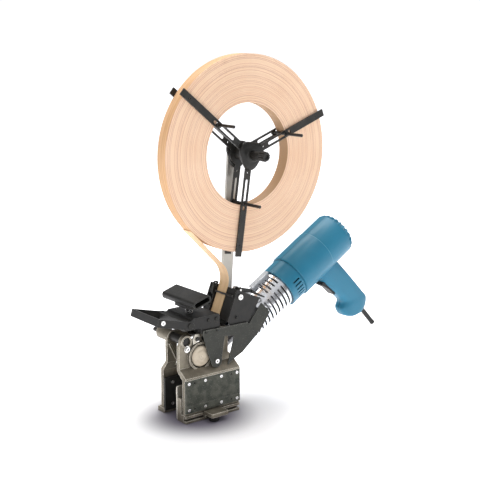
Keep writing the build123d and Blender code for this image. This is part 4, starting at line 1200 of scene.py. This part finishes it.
hub_faces = np.concatenate([hub_meshes[0][1], hub_meshes[1][1] + len(hub_meshes[0][0])])
make_piece(
    "lobed_reel_hubs",
    hub_points,
    hub_faces,
    "reel",
    finishes["black_plastic"],
    ("reel_hubs",),
    40,
)
replaced.add("reel_hubs")


# %% [markdown]
# The return spring is a wire wound on a helix. Its section is a small circle, set at
# each step in the plane square to the helix, and both ends close to a point.


# %% The return spring
def helix(centre, radius, wire, low, high, coils, steps=260, around=10):
    """The middle line is centre + radius (cos t, sin t) and rises evenly with t.

    Round it, a circle of the wire's radius lies on the outward direction and the
    direction that is square to both that and the line. The ends shrink to nothing.
    """
    t = np.linspace(0, 2 * np.pi * coils, steps)
    out = np.stack([np.cos(t), np.sin(t), np.zeros_like(t)], axis=1)
    line = centre + radius * out
    line[:, 2] = np.linspace(low + wire, high - wire, steps)
    run = np.gradient(line, axis=0)
    run /= np.linalg.norm(run, axis=1, keepdims=True)
    up = np.cross(run, out)
    angle = np.linspace(0, 2 * np.pi, around, endpoint=False)
    size = np.full(steps, wire)
    size[[0, -1]] = wire * 0.02
    ring = np.cos(angle)[None, :, None] * out[:, None] + np.sin(angle)[None, :, None] * up[:, None]
    return close_ends(line[:, None] + size[:, None, None] * ring)


spring_centre, spring_half = box_centre("return_spring")
spring_low, spring_high = (corner[2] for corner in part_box("return_spring"))
wire = 0.0007
spring_points, spring_faces = helix(
    np.array([spring_centre[0], spring_centre[1], 0.0]),
    spring_half[0] - wire,
    wire,
    spring_low,
    spring_high,
    5.5,
)
spring = make_piece(
    "coiled_return_spring",
    spring_points,
    spring_faces,
    nodes["return_spring"]["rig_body"],
    finishes["bright_screws"],
    ("return_spring",),
    60,
)
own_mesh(spring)
replaced.add("return_spring")

# %% [markdown]
# The cord's sleeve points down and back from the grip at 47 degrees. It is a plain
# tapering tube with a collar at its root.

# %% The cord sleeve
sleeve_turn = math.radians(-47.2)
sleeve_along = np.array([math.cos(sleeve_turn), 0.0, math.sin(sleeve_turn)])
sleeve_root = np.array([0.3389, seam_y, 0.1104])
sleeve_length = 0.0516
sleeve_outline = [
    (0.0027, 0.0),
    (0.0044, 0.0),
    (0.0044, 0.012),
    (0.0041, 0.014),
    (0.0040, sleeve_length - 0.004),
    (0.0044, sleeve_length - 0.003),
    (0.0044, sleeve_length),
    (0.0027, sleeve_length),
]
sleeve_points, sleeve_faces = lathe(
    soften(sleeve_outline, 0.0005, 3), sleeve_root, sleeve_along, (0, 1, 0), 48
)
make_piece(
    "turned_cord_sleeve",
    sleeve_points,
    sleeve_faces,
    "frame",
    finishes["black_plastic"],
    ("cord_sleeve",),
    40,
)
replaced.add("cord_sleeve")

# %% [markdown]
# What is left keeps its CAD mesh. These are the flat plates, pads and feet, where a
# flat facet is right, and the Bevel node in each finish already rounds their edges.

# %% Finishes for the pieces that stay
# The rear pad gets black plastic, darker than the front pad's mottled finish: painted shade
# between the castings.
own_finish = {"post": finishes["post_steel"], "rear_pad": finishes["black_plastic"]}
for name, piece in nodes.items():
    if name in replaced:
        continue
    material = own_finish.get(name, finishes[slot_of[name]])
    piece.data.materials.clear()
    piece.data.materials.append(material)
print("kept", sorted(set(nodes) - replaced))

# %% [markdown]
# The floor is white and runs out of view, and the light from above is softer than any
# shadow edge. Metal also needs something dark to mirror, so the sky is white overhead
# and at the horizon, with a grey belt between the two. The floor glows more the further
# it is from the feet, and under them a violet-grey shadow is painted on it, which seats
# the machine on it.

# %% Floor, sky and lamps
lowest = size_before[0][2]
foot_low, foot_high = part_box("front_foot")
shade_centre = (float(foot_low[0] + foot_high[0]) / 2 - 0.012, float(foot_high[1]), lowest)
floor_radius = 12.0
rings = np.array([0.0, 0.5, 1.0, 2.0, 4.0, 8.0, floor_radius])
angle = np.linspace(0, 2 * np.pi, 64, endpoint=False)
floor_points = np.stack(
    [
        rings[:, None] * np.cos(angle),
        rings[:, None] * np.sin(angle),
        np.full((len(rings), len(angle)), lowest - 0.0002),
    ],
    axis=-1,
).reshape(-1, 3)
floor_faces = grid_faces(len(rings), len(angle), close_rows=False)
floor_mesh = bpy.data.meshes.new("studio_floor")
floor_mesh.from_pydata(floor_points.tolist(), [], floor_faces.tolist())
floor = bpy.data.objects.new("studio_floor", floor_mesh)
bpy.context.scene.collection.objects.link(floor)
paper = bpy.data.materials.new("white paper with painted shadow")
paper.use_nodes = True
paper_shader = paper.node_tree.nodes["Principled BSDF"]
paper_shader.inputs["Roughness"].default_value = 0.9
paper_shader.inputs["Specular IOR Level"].default_value = 0.1
paper_shader.inputs["Emission Color"].default_value = (0.97, 0.97, 1.0, 1)
paper_tree = paper.node_tree
floor_place = add(paper_tree, "TexCoord").outputs["Object"]
from_feet = add(
    paper_tree,
    "VectorMath",
    {0: floor_place, 1: shade_centre},
    operation="SUBTRACT",
)
far = add(paper_tree, "VectorMath", {0: from_feet.outputs[0]}, operation="LENGTH")
far_out = far.outputs["Value"]
# Painted shadow: near the feet the floor stops glowing and its colour turns violet grey.
glow_outside_painted_shadow = math_of(paper_tree, "MULTIPLY", fade(paper_tree, far_out, 0.075, 0.26), 0.8)
paper_tree.links.new(glow_outside_painted_shadow, paper_shader.inputs["Emission Strength"])
shade = fade(paper_tree, far_out, 0.105, 0.035)
shaded = blend_colour(paper_tree, shade, (0.94, 0.94, 0.95), (0.20, 0.185, 0.23))
paper_tree.links.new(shaded, paper_shader.inputs["Base Color"])
floor_mesh.materials.append(paper)

world = bpy.data.worlds.new("studio sky")
bpy.context.scene.world = world
world.use_nodes = True
sky = world.node_tree
look = add(sky, "SeparateXYZ", {0: add(sky, "TexCoord").outputs["Generated"]})
ramp = add(sky, "ValToRGB", {0: look.outputs["Z"]})
horizon_white = 1.45
stops = ramp.color_ramp.elements
stops[0].position, stops[0].color = 0.0, (horizon_white, horizon_white, horizon_white, 1)
stops[1].position, stops[1].color = 1.0, (1, 1, 1, 1)
for place_on_ramp, grey in (
    (0.05, horizon_white),
    (0.13, 0.32),
    (0.42, 0.38),
    (0.66, 1.0),
):
    stop = stops.new(place_on_ramp)
    stop.color = (grey, grey, grey * 1.02, 1)
sky.links.new(ramp.outputs[0], sky.nodes["Background"].inputs["Color"])
sky.nodes["Background"].inputs["Strength"].default_value = 0.72


def lamp(name, place, aim, size, watts, tint=(1, 1, 1)):
    """A square area lamp at place that faces aim."""
    light = bpy.data.lights.new(name, "AREA")
    light.size, light.energy, light.color = size, watts, tint
    made = bpy.data.objects.new(name, light)
    made.location = place
    direction = np.array(aim) - np.array(place)
    pitch = math.acos(-direction[2] / np.linalg.norm(direction))
    made.rotation_euler = (pitch, 0, math.atan2(direction[1], direction[0]) - math.pi / 2)
    bpy.context.scene.collection.objects.link(made)


lamp("overhead softbox", (0.35, 0.45, 1.9), (0.05, 0, 0.1), 1.3, 34, (1.0, 0.985, 0.97))
lamp("front softbox", (-1.3, -1.8, 1.15), (0.1, 0, 0.2), 0.9, 7)
lamp("side strip", (1.7, -1.2, 0.9), (0.15, 0, 0.25), 0.7, 1.5)

# %% [markdown]
# The camera stands to the front left, a little higher than the reel, with a long lens
# that keeps the fences' edges almost parallel.

# %% Camera
camera_data = bpy.data.cameras.new("camera")
camera_data.lens, camera_data.sensor_width = 75.69, 36.0
camera = bpy.data.objects.new("camera", camera_data)
camera.location = (-0.8433, -1.1828, 0.5727)
camera.rotation_euler = (math.radians(90 - 11.72), 0, math.radians(-37.4))
bpy.context.scene.collection.objects.link(camera)
bpy.context.scene.camera = camera
bpy.context.scene.view_settings.view_transform = "Standard"
